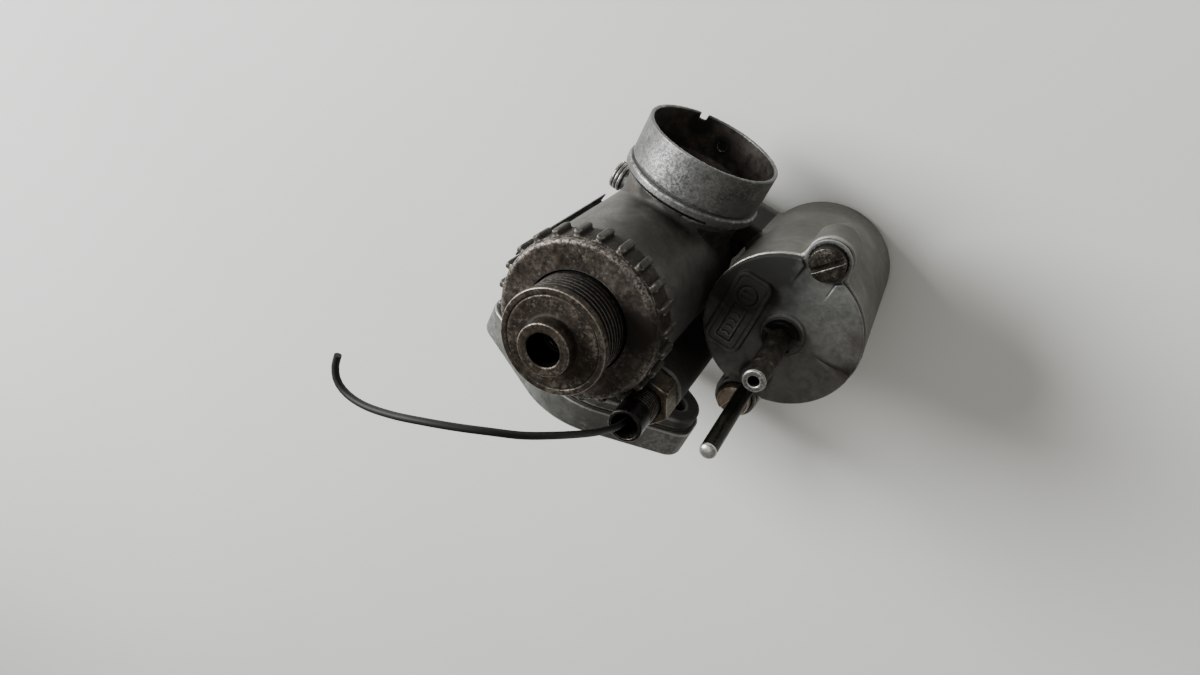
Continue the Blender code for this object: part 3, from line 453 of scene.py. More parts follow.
    table["fibre"] = fibre_material()
    return table


def fibre_material():
    n = Nodes("gasket_fibre")
    thread = n.noise(0.8, 6.0, 0.7)
    patch = n.noise(6.0, 4.0)
    both_noises = n.plus(n.times(thread, 0.5), n.times(patch, 0.5))
    colour = n.ramp(both_noises, (0.35, (0.02, 0.018, 0.016)), (0.65, (0.085, 0.07, 0.055)))
    n.link(colour, n.shader.inputs["Base Color"])
    n.link(n.ramp(thread, (0.3, 0.7), (0.7, 0.95)), n.shader.inputs["Roughness"])
    n.bump(thread, 0.08)
    return n.material


def floor_material():
    n = Nodes("table_top")
    cloud = n.noise(160.0, 3.0)
    grain = n.noise(0.7, 2.0)
    colour = n.ramp(cloud, (0.3, (0.85, 0.85, 0.838)), (0.7, (0.885, 0.885, 0.873)))
    n.link(colour, n.shader.inputs["Base Color"])
    n.link(n.ramp(grain, (0.3, 0.45), (0.7, 0.55)), n.shader.inputs["Roughness"])
    n.shader.inputs["Specular IOR Level"].default_value = 0.35
    n.bump(grain, 0.01, 0.3)
    return n.material


# -------------------- distance fields

def smooth_min(a, b, k):
    """Join two fields with a fillet about k millimetres wide."""
    h = np.clip(0.5 + 0.5 * (b - a) / k, 0, 1)
    return b * (1 - h) + a * h - k * h * (1 - h)


def smooth_max(a, b, k):
    return -smooth_min(-a, -b, k)


def carve(solid, tool, k=0.5):
    """Cut a tool out of a solid, with an edge rounded over about k millimetres."""
    return smooth_max(solid, -tool, k)


def both(a, b, e):
    """Where two fields overlap, with the edge between them rounded to radius e."""
    a, b = a + e, b + e
    return np.minimum(np.maximum(a, b), 0) + np.hypot(np.maximum(a, 0), np.maximum(b, 0)) - e


def away(x, y, axis):
    """Distance from an upright axis."""
    return np.hypot(x - axis[0], y - axis[1])


def slab(w, low, high):
    return np.abs(w - (low + high) / 2) - (high - low) / 2


def cyl(u, v, w, r, low, high, e=0.4):
    return both(np.hypot(u, v) - r, slab(w, low, high), e)


def brick(x, y, z, low, high, e=0.4):
    return both(both(slab(x, low[0], high[0]), slab(y, low[1], high[1]), e), slab(z, low[2], high[2]), e)


def lathe(r, w, points, e=0.0):
    """The field of a closed (radius, height) outline turned about the axis."""
    r, w = np.broadcast_arrays(r, w)
    best = np.full(r.shape, 1e9)
    inside = np.zeros(r.shape, bool)
    for (r0, w0), (r1, w1) in zip(points, points[1:] + points[:1]):
        dr, dw = r1 - r0, w1 - w0
        t = np.clip(((r - r0) * dr + (w - w0) * dw) / (dr * dr + dw * dw), 0, 1)
        best = np.minimum(best, np.hypot(r - r0 - t * dr, w - w0 - t * dw))
        if w0 != w1:
            side = r < r0 + (w - w0) / dw * dr
            inside ^= ((w >= min(w0, w1)) & (w < max(w0, w1))) & side
    return np.where(inside, -best, best) - e


def mesh_of(name, field, low, high, step, material, body, replaces, slot, turn=None, calm=None, zones=()):
    """The surface where a field is zero, as a smooth mesh that knows where it bends.

    The field is sampled between low and high at every step, in millimetres. A calm function weakens the
    bends it is told to, and each zone gives the faces it picks a material.
    """
    low = np.asarray(low, float) - 1.5 * step
    counts = np.ceil((np.asarray(high, float) + 1.5 * step - low) / step).astype(int) + 1
    axes = [low[i] + step * np.arange(counts[i]) for i in range(3)]
    grid = field(*np.meshgrid(*axes, indexing="ij", sparse=True))
    grid = np.broadcast_to(grid, counts).astype(np.float32)
    inside = grid < 0
    cells = counts - 1
    total = int(np.prod(cells))
    weights = np.zeros(total)
    sums = np.zeros((3, total))
    quads = []
    for axis in range(3):
        b, c = (axis + 1) % 3, (axis + 2) % 3
        lower = [slice(None)] * 3
        upper = [slice(None)] * 3
        lower[axis], upper[axis] = slice(None, -1), slice(1, None)
        start = np.argwhere(inside[tuple(lower)] != inside[tuple(upper)])
        end = start.copy()
        end[:, axis] += 1
        g0, g1 = grid[tuple(start.T)], grid[tuple(end.T)]
        spot = start.astype(float)
        spot[:, axis] += g0 / (g0 - g1)
        ring = []
        for db, dc in ((1, 1), (0, 1), (0, 0), (1, 0)):
            cell = start.copy()
            cell[:, b] -= db
            cell[:, c] -= dc
            index = np.ravel_multi_index(cell.T, cells)
            weights += np.bincount(index, minlength=total)
            for i in range(3):
                sums[i] += np.bincount(index, spot[:, i], total)
            ring.append(index)
        ring = np.stack(ring, 1)
        quads.append(np.where((g0 < 0)[:, None], ring, ring[:, ::-1]))
    quads = np.concatenate(quads)
    used = np.flatnonzero(weights)
    number = np.zeros(total, int)
    number[used] = np.arange(len(used))
    points = low + step * (sums[:, used] / weights[used]).T
    points = settle(field, points, step)
    mesh = bpy.data.meshes.new(name)
    faces = number[quads]
    mesh.vertices.add(len(points))
    mesh.vertices.foreach_set("co", (points * MM).ravel())
    mesh.loops.add(faces.size)
    mesh.loops.foreach_set("vertex_index", faces.ravel())
    mesh.polygons.add(len(faces))
    mesh.polygons.foreach_set("loop_start", np.arange(0, faces.size, 4))
    mesh.polygons.foreach_set("use_smooth", np.ones(len(faces), bool))
    mesh.update(calc_edges=True)
    mesh.validate()
    bend = 0.35 * curvature(field, points, 1.3 * step)
    if calm is not None:
        bend = bend * calm(*points.T)
    keep_bend(mesh, np.clip(0.5 + bend, 0, 1))
    centres = points[faces].mean(1).T
    which = np.zeros(len(faces), np.int32)
    for number, (look, test) in enumerate(zones, 1):
        which[test(*centres)] = number
    mesh.materials.append(MATERIALS[material])
    for look, _ in zones:
        mesh.materials.append(MATERIALS[look])
    mesh.polygons.foreach_set("material_index", which)
    return finish_piece(name, mesh, body, replaces, turn)


def keep_bend(mesh, values):
    """Store a mesh's measure of bending for its materials: 0.5 is flat."""
    bend = mesh.attributes.new("bend", "FLOAT", "POINT")
    bend.data.foreach_set("value", values.astype(np.float32))


def settle(field, points, step):
    """Move each point down the field's slope onto the surface."""
    offsets = np.eye(3) * 0.05 * step
    for _ in range(3):
        value = field(*points.T)
        rises = [field(*(points + offset).T) - field(*(points - offset).T) for offset in offsets]
        slope = np.stack(rises, 1) / (0.1 * step)
        move = value[:, None] * slope / np.maximum((slope ** 2).sum(1), 0.25)[:, None]
        points = points - np.clip(move, -0.4 * step, 0.4 * step)
    return points


def curvature(field, points, reach):
    """The field's second difference at the surface, in units of one over reach."""
    around = sum(field(*(points + side * offset).T) for offset in np.eye(3) * reach for side in (1, -1))
    return (around - 6 * field(*points.T)) / reach


def finish_piece(name, mesh, body, replaces, turn=None):
    """Put a mesh on its body, in the place of the CAD nodes it replaces."""
    obj = bpy.data.objects.new(name, mesh)
    bpy.context.scene.collection.objects.link(obj)
    if turn is not None:
        mesh.transform(turn)
    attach(obj, body)
    if replaces:
        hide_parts(*replaces)
    return obj


# -------------------- the body casting

def oval(x, z, middle_r=26.0, corner=(33.4, 2.4), corner_r=8.1):
    """The flange's outline: round in the middle and at four corners, with straight flanks."""
    across, up = np.abs(x), np.abs(z)
    reach = float(np.hypot(*corner))
    along = (across * corner[0] + up * corner[1]) / reach
    side = np.abs(up * corner[0] - across * corner[1]) / reach
    b = (middle_r - corner_r) / reach
    a = (1 - b * b) ** 0.5
    k = -b * side + a * along
    near_corner = np.hypot(side, along - reach) - corner_r
    flank = side * a + along * b - middle_r
    wedge = np.where(k < 0, np.hypot(side, along) - middle_r, np.where(k > a * reach, near_corner, flank))
    return np.minimum(wedge, np.maximum(across - corner[0] - corner_r, up - corner[1]))


def ear_away(x, y):
    """Distance from the axis of the nearer lid screw."""
    return np.hypot(x - BOWL[0], np.where(y > BOWL[1], y - BOWL[1] - EARS[1], BOWL[1] - y - EARS[-1]))


def body_outside(x, y, z):
    barrel_r = away(x, y, BARREL)
    bore_r = np.hypot(x, z)
    barrel = lathe(barrel_r, z, [
        (-1, 52), (21.3, 52), (21.3, 47), (23.2, 47), (23.2, -8), (22.2, -13), (19.5, -17), (15, -20),
        (12, -22), (12, -33), (-1, -33),
    ])
    neck = lathe(bore_r, y, [(-1, 83.3), (18.9, 83.3), (18.3, 74), (18.6, 60), (18.6, 11.6), (-1, 11.6)])
    shape = smooth_min(barrel, neck, 1.8)
    plate = both(oval(x, z, 25.6, (30.4, 0.6), 9.8), slab(y, 11.3, 15.3), 0.6)
    shape = smooth_min(shape, plate, 4.5)
    choke_r = away(x, y, CHOKE)
    housing = lathe(choke_r, z, [(-1, 37.4), (7.6, 37.4), (8, 37.0), (8, -17), (6, -20), (-1, -20)])
    web = brick(x, y, z, (11.3, 34.6, -15.1), (24.1, 46.4, 27.3), 2.0)
    shape = smooth_min(shape, smooth_min(housing, web, 3.0), 4.0)
    arm = brick(x, y, z, (-3.2, 72.5, -34), (32, 80, -10), 1.5)
    root = brick(x, y, z, (-2.4, 59.3, -31.7), (7.7, 76.1, -11.4), 2.0)
    arm_shoulder = brick(x, y, z, (5.3, 66.8, -33), (21.8, 74.6, -11.6), 1.5)
    shape = smooth_min(shape, smooth_min(smooth_min(arm, root, 3.0), arm_shoulder, 1.0), 2.5)
    bowl_r = away(x, y, BOWL)
    bowl = lathe(bowl_r, z, [
        (-1, 17.8), (23.2, 17.8), (23.1, 15.5), (22.1, -39), (21.3, -40.8), (19.6, -41.4), (-1, -41.4),
    ], 0.1)
    shape = smooth_min(shape, bowl, 2.5)
    ear = lathe(ear_away(x, y), z, [(-1, 17.7), (6.7, 17.7), (6.7, 6), (3.4, -6.2), (-1, -6.2)], 0.1)
    shape = smooth_min(shape, ear, 3.0)
    ear_web = brick(x, y, z, (43.8, 43.9, -4), (49, 48.4, 12), 1.5)
    shape = smooth_min(shape, ear_web, 2.0)
    boss = cyl(x - BOSS[0], y - BOSS[1], z, 4.0, -23, -14, 0.5)
    return smooth_min(shape, boss, 2.0)


def body_field(x, y, z):
    shape = body_outside(x, y, z)
    barrel_r = away(x, y, BARREL)
    bore_r = np.hypot(x, z)
    bowl_r = away(x, y, BOWL)
    choke_r = away(x, y, CHOKE)
    choke_bore = [(-1, 45), (5.3, 45), (5.3, 23.5), (4.8, 23.5), (4.8, -15), (-1, -15)]
    bore = lathe(bore_r, y, [
        (-1, 95), (18.9, 95), (18.9, 86), (15.9, 79.6), (BORE_R, 70), (BORE_R, -5), (-1, -5),
    ])
    slide_chamber = lathe(barrel_r, z, [(-1, 60), (17.8, 60), (17.8, -13.2), (-1, -13.2)])
    float_chamber = lathe(bowl_r, z, [(-1, 30), (20.4, 30), (20.4, -36.5), (18.4, -38.5), (-1, -38.5)])
    for tool in (bore, slide_chamber, float_chamber, lathe(choke_r, z, choke_bore)):
        shape = carve(shape, tool, 0.5)
    shape = carve(shape, cyl(np.abs(x) - STUD_X, z, y, STUD_HOLE_R, 5, 20, 0), 0.6)
    shape = carve(shape, cyl(x, y - BARREL_Y, z, 4.2, -30, -5, 0), 0.4)
    shape = carve(shape, cyl(x, y - BARREL_Y, z, 6.2, -40, -22, 0), 0.4)
    shape = carve(shape, both(ear_away(x, y) - EAR_HOLE_R, slab(z, 3, 25), 0), 0.4)
    for screw_y in (STOP_Y, AIR_Y):
        shape = carve(shape, cyl(y - screw_y, z - ADJUSTER_Z, x, 2.3, -30, -10, 0), 0.3)
        shape = carve(shape, cyl(y - screw_y, z - ADJUSTER_Z, x, 4.8, -30, -15.6, 0), 0.5)
    return carve(shape, cyl(x - BOSS[0], y - BOSS[1], z, 2.3, -30, -12, 0), 0.3)


SPIGOT_OUTLINE = [
    (20.8, 100.2), (20.8, 88.1), (20.3, 87.8), (20.3, 87.3), (21.2, 87.0), (21.5, 86.6), (21.5, 84.6),
    (21.0, 84.0), (18.8, 83.5), (17.85, 83.5), (18.9, 86), (19.75, 88), (19.75, 100.2),
]


def spigot_field(x, y, z):
    """The thin intake tube with its bead, slightly out of round, a notch in its rim and an air hole."""
    radius = np.hypot(x, z)
    wobble = 0.12 * np.sin(3 * np.arctan2(z, x) + 0.7)
    shape = lathe(radius - wobble, y, SPIGOT_OUTLINE) - 0.02
    notch = brick(x, y, z, (-11.2, 98.3, -24), (-9.1, 103, -14), 0.5)
    hole = cyl(x + 0.8, y - 93.3, z, 1.5, -20.2, -16, 0)
    return carve(carve(shape, notch, 0.3), hole, 0.3)


def bowl_zone(x, y, z):
    from_bowl = away(x, y, BOWL)
    return (from_bowl < 24.0) | (ear_away(x, y) < 8.5)


# the bore's oily material is painted dark as the shade inside the bores
def bore_zone(x, y, z):
    radius = np.hypot(x, z)
    in_chamber = (away(x, y, BARREL) < 18.1) & (z > -14)
    return (radius < 18.75) & (y > 70) & (y < 83) | (radius < 13.4) & (y < 70) | in_chamber


def crease_zone(x, y, z):
    """Painted shade and oil in the corner between the barrel and the bead."""
    return (y > 82.4) & (x < 5.0) & (z > 2.0)


def bead_zone(x, y, z):
    """The bead's face towards the barrel, painted black as the shade under the bead."""
    return (y < 85.0) & (z > -6.0) & (x < 12.0)


def spigot_bore_zone(x, y, z):
    # the air hole's wall gets the bore's dark material, as painted shade
    in_hole = (np.hypot(x + 0.8, y - 93.3) < 1.5) & (z < 0) & (np.hypot(x, z) < 20.6)
    return (np.hypot(x, z) < 19.9) & (y < 99.6) | in_hole


def spacer_field(x, y, z):
    shape = both(oval(x, z), slab(y, 0, 10.2), 0.5)
    shape = carve(shape, cyl(x, z, y, BORE_R, -5, 20, 0), 0.4)
    return carve(shape, cyl(np.abs(x) - STUD_X, z, y, STUD_HOLE_R, -5, 20, 0), 0.5)


def make_castings():
    box = ((-41.6, 11.2, -41.6), (69.9, 102.0, 52.2))
    mesh_of("body_casting", body_field, *box, 0.7, "cast", HELD, ("carburettor_body",), "cast_alloy",
            zones=(("bowl", bowl_zone), ("tube", crease_zone), ("bore", bore_zone)),
            calm=lambda x, y, z: np.where((z > 45) & (away(x, y, BARREL) < 25), 0.0, 1.0))
    box = ((-21.7, 83.3, -21.7), (21.7, 100.4, 21.7))
    mesh_of("intake_spigot", spigot_field, *box, 0.4, "spigot", HELD, (), "cast_alloy",
            zones=(("tube", bead_zone), ("bore", spigot_bore_zone)),
            calm=lambda x, y, z: np.where(y > SPIGOT_RIM_Y, 0.0, 1.0))
    box = ((-41.6, 0, -26.1), (41.6, 10.3, 26.1))
    mesh_of("flange_spacer_plate", spacer_field, *box, 0.5, "flange", HELD, ("flange_spacer",),
            "cast_alloy")


# -------------------- top of the mixing chamber

def threads(r, angle, w, crest, root, pitch, low, high):
    """A turned thread between two heights: a radius field whose ridges climb one pitch a turn."""
    phase = (w / pitch + angle / (2 * pi)) % 1.0
    ridge = np.abs(phase - 0.5) * 2
    fade = np.clip(np.minimum(w - low, high - w) / (0.6 * pitch), 0, 1)
    return r - (crest - (crest - root) * ridge * fade)


NUT_RIBS = 24


def nut_field(x, y, z):
    radius = away(x, y, BARREL)
    angle = np.arctan2(y - BARREL_Y, x)
    skirt = lathe(radius, z, [
        (21.8, 47.4), (23.3, 47.4), (23.4, 54.9), (23.0, 55.3), (23.05, 56.2), (22.8, 56.8), (22.2, 57.1),
        (15.0, 57.1), (15.0, 54.7), (21.8, 54.7),
    ], 0.15)
    step = 2 * pi / NUT_RIBS
    fold = (angle - radians(11) + step / 2) % step - step / 2
    rib = both(np.abs(fold) * radius - 1.15, slab(radius, 21.9, 25.25), 0.6)
    return smooth_min(skirt, both(rib, slab(z, 47.4, 55.2), 0.9), 0.5)


def grip_zone(x, y, z):
    """The ring nut between its ribs, and its lower edge."""
    radius = away(x, y, BARREL)
    return (radius > 23.0) & (radius < 24.0) & (z < 55.0) | (z < 47.9)


def rib_zone(x, y, z):
    return (away(x, y, BARREL) >= 24.0) & (z < 56.0)


def thread_zone(x, y, z):
    """The thread, with the deep bore of the cable boss painted dark as shade."""
    radius = away(x, y, BARREL)
    return (z > 54.8) & (z < 68.3) & (radius > 11.5) & (radius < 14.8) | (radius < 4.9) & (z < 75.2)


def cap_field(x, y, z):
    radius = away(x, y, BARREL)
    angle = np.arctan2(y - BARREL_Y, x)
    hub = threads(radius, angle, z, 14.4, 13.6, 1.6, 57.2, 68.4)
    hub = both(hub, slab(z, 54.4, 69), 0)
    head = both(radius - 14.95, slab(z, 68.3, 70.7), 0.35)
    hub = smooth_min(hub, head, 0.3)
    base = both(radius - 21.3, slab(z, 52.3, 54.4), 0.3)
    shape = smooth_min(hub, base, 0.5)
    boss = both(radius - 7.4, slab(z, 60, 75.5), 0.45)
    shape = smooth_min(shape, boss, 0.8)
    shape = carve(shape, both(radius - 4.7, slab(z, 66.4, 80), 0), 0.5)
    shape = carve(shape, both(radius - 3.2, slab(z, 60, 80), 0), 0.3)
    shape = carve(shape, both(radius - 11.0, slab(z, 45, 64.0), 0), 0.4)
    ring = np.abs(radius - 13.1) - 0.15
    return carve(shape, both(ring, slab(z, 70.45, 72), 0), 0.25)


def make_top():
    box = ((-25.4, BARREL_Y - 25.4, 47.2), (25.4, BARREL_Y + 25.4, 57.4))
    mesh_of("ribbed_ring_nut", nut_field, *box, 0.36, "nut", HELD, ("ring_nut",), "patinated_nut",
            zones=(("rib", rib_zone), ("grip", grip_zone)))
    box = ((-21.5, BARREL_Y - 21.5, 52.2), (21.5, BARREL_Y + 21.5, 75.6))
    mesh_of("threaded_cap", cap_field, *box, 0.28, "cap", HELD, ("top_cap",), "patinated_cap",
            zones=(("thread", thread_zone),))


def about_barrel(angle):
    """Turn a mesh made on +X about the world's Z axis to an angle about the barrel's axis."""
    return Matrix.Translation((0, BARREL_Y * MM, 0)) @ Matrix.Rotation(radians(angle), 4, "Z")


def strip_field(x, y, z):
    half = np.where(z < 44.0, 2.6, 2.6 - np.clip((z - 44.0) * 0.5, 0, 1.0))
    shape = both(both(slab(x, 24.82, 25.38), np.abs(y) - half, 0.15), slab(z, -3, 51.4), 0.3)
    return carve(shape, cyl(y, z - 0.5, x, 1.7, 20, 30, 0), 0.1)


def rivet_field(x, y, z):
    radius = np.hypot(y, z - 0.5)
    return lathe(radius, x, [(-1, 25.4), (1.0, 25.35), (1.35, 25.0), (1.35, 21.6), (-1, 21.6)], 0.03)


def make_lock_spring():
    turn = about_barrel(168.5)
    mesh_of("lock_strip", strip_field, (24.7, -2.7, -3.1), (25.5, 2.7, 51.5), 0.2, "spring", "nut_lock",
            ("lock_spring",), "spring_steel", turn)
    mesh_of("lock_rivet", rivet_field, (21.5, -1.5, -1.0), (25.5, 1.5, 2.0), 0.2, "spring", HELD,
            ("lock_spring_rivet",), "spring_steel", turn)


# -------------------- lid of the float bowl

def lid_plan(x, y, radius, ear):
    return smooth_min(away(x, y, BOWL) - radius, ear_away(x, y) - ear, 1.0)


def emblem_field(x, y, z):
    """A raised plate with a ring, a frame and slanting strokes cut into it."""
    turn = radians(0.8)
    u = (x - 33.3) * cos(turn) + (y - 68.4) * sin(turn)
    v = -(x - 33.3) * sin(turn) + (y - 68.4) * cos(turn)
    plan = both(np.abs(u) - 5.6, np.abs(v) - 12.7, 3.0)
    plate = both(plan, slab(z, 19.5, 22.4), 0.6)
    border = np.abs(plan + 1.3) - 0.14
    frame_line = np.abs(both(np.abs(u) - 2.2, np.abs(v + 3.3) - 5.9, 0.3)) - 0.24
    ring = np.abs(np.hypot(u, v - 6.3) - 3.0) - 0.26
    slant = (v + 3.3 + 0.5 * np.abs(u)) % 2.2 - 1.1
    strokes = both(np.abs(slant) - 0.26, both(np.abs(u) - 1.3, np.abs(v + 3.3) - 4.6, 0.2), 0)
    dashes = both(np.abs((v - 6.3) % 1.8 - 0.9) - 0.24, np.hypot(u, v - 6.3) - 1.9, 0)
    lines = np.minimum(np.minimum(frame_line, ring), np.minimum(strokes, dashes))
    plate = carve(plate, both(lines, slab(z, 21.95, 30), 0), 0.15)
    return carve(plate, both(border, slab(z, 22.2, 30), 0), 0.2)


def lid_field(x, y, z):
    plan = lid_plan(x, y, 23.0, 6.4)
    disc = both(plan, slab(z, 19.0, 20.6), 0.3)
    inlet_r = away(x, y, INLET)
    guide_r = away(x, y, TICKLER)
    stem = lathe(inlet_r, z, [
        (-1, 44), (3.95, 44), (4.25, 43.6), (5.3, 21.4), (7.0, 19.6), (7.0, 12.6), (6.4, 12), (-1, 12),
    ], 0.05)
    seat = lathe(inlet_r, z, [(-1, 21.1), (6.1, 21.1), (6.1, 19.5), (-1, 19.5)], 0.1)
    shape = smooth_min(disc, seat, 0.5)
    shape = smooth_min(shape, stem, 0.9)
    guide = lathe(guide_r, z, [
        (-1, 24), (3.7, 24), (4.0, 23.6), (4.2, 20.2), (4.1, 19.6), (4.1, 10), (-1, 10),
    ])
    shape = smooth_min(shape, guide, 0.8)
    shape = smooth_min(shape, emblem_field(x, y, z), 0.5)
    tabs = both(np.abs(x - BOWL[0]) - 4.9, np.where(y > BOWL[1], 84.0 - y, y - 49.5), 0.3)
    floor = np.where(y > BOWL[1], 19.75 + np.clip((90.2 - y) * 0.15, 0, 1.2), 19.75)
    heads = both(np.hypot(x - BOWL[0], np.abs(y - BOWL[1]) - 29.0) - 9.4, 19.75 - z, 0)
    shape = carve(shape, np.minimum(both(tabs, floor - z, 0), heads), 0.3)
    groove = (np.abs(y - 69.4) * 0.6 - (z - 20.6 + 0.11 * (x - 57.5))) / 1.17
    shape = carve(shape, groove, 0.3)
    inlet_hole = lathe(inlet_r, z, [
        (-1, 50), (3.55, 50), (3.55, 24), (1.5, 24), (1.5, 18.9), (4.0, 18.9), (4.0, 5), (-1, 5),
    ])
    guide_hole = lathe(guide_r, z, [
        (-1, 30), (2.65, 30), (2.65, 22.4), (3.4, 22.4), (3.4, 10.6), (2.4, 10.6), (2.4, 5), (-1, 5),
    ])
    shape = carve(carve(shape, inlet_hole, 0.2), guide_hole, 0.2)
    return carve(shape, both(ear_away(x, y) - EAR_HOLE_R, slab(z, 3, 25), 0), 0.3)


def screw_field(turn):
    """A cheese-headed screw with a slot at an angle, on the world's Z axis."""
    across = radians(turn)

    def field(x, y, z):
        radius = np.hypot(x, y)
        head = lathe(radius, z, [
            (-1, 23.1), (3.6, 23.05), (4.7, 22.75), (5.0, 22.3), (5.0, 20.05), (2.35, 20.05), (2.35, 5.1),
            (1.8, 4.3), (-1, 4.3),
        ], 0.03)
        slot = both(np.abs(-x * sin(across) + y * cos(across)) - 0.75, slab(z, 21.7, 30), 0)
        return carve(head, slot, 0.3)

    return field


def nipple_field(x, y, z):
    radius = away(x, y, INLET)
    return lathe(radius, z, [
        (1.65, 51.45), (2.85, 51.45), (3.15, 51.1), (3.18, 50.3), (2.95, 49.6), (2.95, 44.6),
        (3.2, 44.2), (3.2, 24.35), (1.65, 24.35),
    ], 0.06)


def pocket_and_stem_shade_zone(x, y, z):
    """The inlet stem, and the pockets around the screws' heads, painted dark as shade."""
    stem = (away(x, y, INLET) < 5.7) & (z > STEM_LOW) & (z < STEM_HIGH)
    return stem | (ear_away(x, y) < 5.45) & (z > 19.0)


def make_lid():
    box = ((23.2, 36.1, 9.9), (69.6, 101.6, 44.2))
    mesh_of("bowl_cover", lid_field, *box, 0.34, "lid", HELD, ("bowl_lid",), "lid_alloy",
            zones=(("thread", pocket_and_stem_shade_zone),),
            calm=lambda x, y, z: np.where((z > STEM_LOW) & (z < STEM_HIGH), 0.1, 1.0))
    for name, node, side, turn, look, slot in (
            ("cover_screw_intake", "lid_screw_intake_side", 1, 51.5, "screw_steel", "plated_steel"),
            ("cover_screw_engine", "lid_screw_engine_side", -1, 74.5, "tan_steel", "tarnished_steel")):
        place = Matrix.Translation(Vector((BOWL[0], BOWL[1] + side * EARS[side], 0)) * MM)
        box = ((-5.1, -5.1, 4.2), (5.1, 5.1, 23.2))
        mesh_of(name, screw_field(turn), *box, 0.22, look, HELD, (node,), slot, place)
    box = ((42.5, 65.2, 24.2), (51.9, 74.6, 51.6))
    mesh_of("fuel_nipple", nipple_field, *box, 0.25, "screw_steel", HELD, ("inlet_nipple",),
            "plated_steel", zones=(("steel", lambda x, y, z: z > NIPPLE_RIM_Z),),
            calm=lambda x, y, z: np.where(z < NIPPLE_RIM_Z, 0.1, 1.0))


def tickler_field(x, y, z):
    radius = away(x, y, TICKLER)
    rod = lathe(radius, z, [(-1, 65.2), (2.2, 65.2), (2.25, 21.5), (2.0, 21.0), (2.0, 6.2), (1.6, 5.9),
                            (-1, 5.9)], 0.08)
    dome = np.sqrt(radius ** 2 + ((z - 65.3) * 1.5) ** 2) - 2.33
    collar = lathe(radius, z, [(-1, 21.85), (3.15, 21.85), (3.15, 21.05), (-1, 21.05)], 0.03)
    return np.minimum(np.minimum(rod, dome), collar)


# -------------------- choke

def tube_field(x, y, z):
    radius = away(x, y, CHOKE)
    angle = np.arctan2(y - CHOKE[1], x - CHOKE[0])
    outside = lathe(radius, z, [(-1, 60.0), (4.6, 60.0), (4.95, 59.7), (4.95, 24.05), (-1, 24.05)], 0.03)
    outside = np.maximum(outside, threads(radius, angle, z, 5.0, 4.6, 1.0, 25, 53.5))
    inside = lathe(radius, z, [(-1, 70), (3.9, 70), (3.9, 26), (3.0, 25), (3.0, 20), (-1, 20)])
    return carve(outside, inside, 0.25)


def hexagon(u, v, turn, half):
    """A hexagon's plan, from its turn in degrees and half its width across flats."""
    turn = radians(turn)
    flats = [np.abs(u * cos(turn + a) + v * sin(turn + a)) - half for a in (0, pi / 3, 2 * pi / 3)]
    return np.maximum(np.maximum(flats[0], flats[1]), flats[2])


def lock_nut_field(x, y, z):
    u, v = x - CHOKE[0], y - CHOKE[1]
    shape = both(hexagon(u, v, 26, 6.97), slab(z, 37.72, 45.98), 0.2)
    radius = np.hypot(u, v)
    chamfer = (radius - 7.1 + (np.abs(z - 41.85) - 4.13) * 1.7) / 2
    shape = smooth_max(shape, chamfer, 0.2)
    return carve(shape, both(radius - 5.25, slab(z, 20, 60), 0), 0.3)


def make_small_tops():
    box = ((44.1, 50.7, 5.7), (50.7, 57.3, 67.0))
    mesh_of("tickler_pin", tickler_field, *box, 0.24, "dark_steel", "tickler", ("tickler_rod",),
            "dark_steel", zones=(("bright_steel", lambda x, y, z: z > TICKLER_DOME_Z),))
    box = ((20.6, 35.7, 23.9), (30.8, 45.9, 60.2))
    mesh_of("choke_tube", tube_field, *box, 0.2, "tube", HELD, ("choke_cable_tube",), "blackened_tube")
    box = ((17.6, 32.7, 37.6), (33.8, 48.9, 46.1))
    mesh_of("choke_hex_nut", lock_nut_field, *box, 0.24, "old_brass", HELD, ("choke_lock_nut",),
            "dull_brass")


# -------------------- throttle, adjusters and springs

def slide_field(x, y, z):
    """The slide, a cup open at its top with a cutaway under its intake side."""
    radius = away(x, y, BARREL)
    shape = lathe(radius, z, [
        (15.6, 26), (17.5, 26), (17.5, -12.6), (1.6, -12.6), (1.6, -8.0), (15.6, -8.0),
    ])
    slope = (z + 12.6) - 0.2126 * (y - 62.0)
    return smooth_max(shape, -slope / 1.02 - 0.3, 0.3)


def adjuster_field(x, y, z):
    """A screw on -X with a ringed head."""
    radius = np.hypot(y, z - ADJUSTER_Z)
    shape = lathe(radius, x, [
        (-1, -14.05), (0.8, -14.05), (1.95, -15.4), (1.95, -20.35), (3.7, -20.35), (3.95, -20.6),
        (3.95, -22.6), (4.75, -22.95), (4.75, -23.6), (4.4, -23.9), (4.75, -24.2), (4.75, -24.8),
        (4.4, -25.1), (4.75, -25.4), (4.7, -25.9), (4.3, -26.3), (-1, -26.3),
    ], 0.04)
    return carve(shape, both(np.abs(z - ADJUSTER_Z) - 0.5, slab(x, -30, -25.3), 0), 0.25)


def plug_field(x, y, z):
    v = y - BARREL_Y
    head = both(hexagon(x, v, 15, 9.4), slab(z, -41.45, -34.65), 0.3)
    radius = np.hypot(x, v)
    head = smooth_max(head, (radius - 10.4 + (-38.0 - z) * 1.2 - 1.5) / 1.6, 0.3)
    shape = smooth_min(head, both(radius - 5.9, slab(z, -37, -27.5), 0.2), 0.4)
    hollow = lathe(radius, z, [(-1, -20), (4.4, -20), (4.4, -36), (2.4, -38.5), (-1, -38.5)])
    return carve(shape, hollow, 0.2)


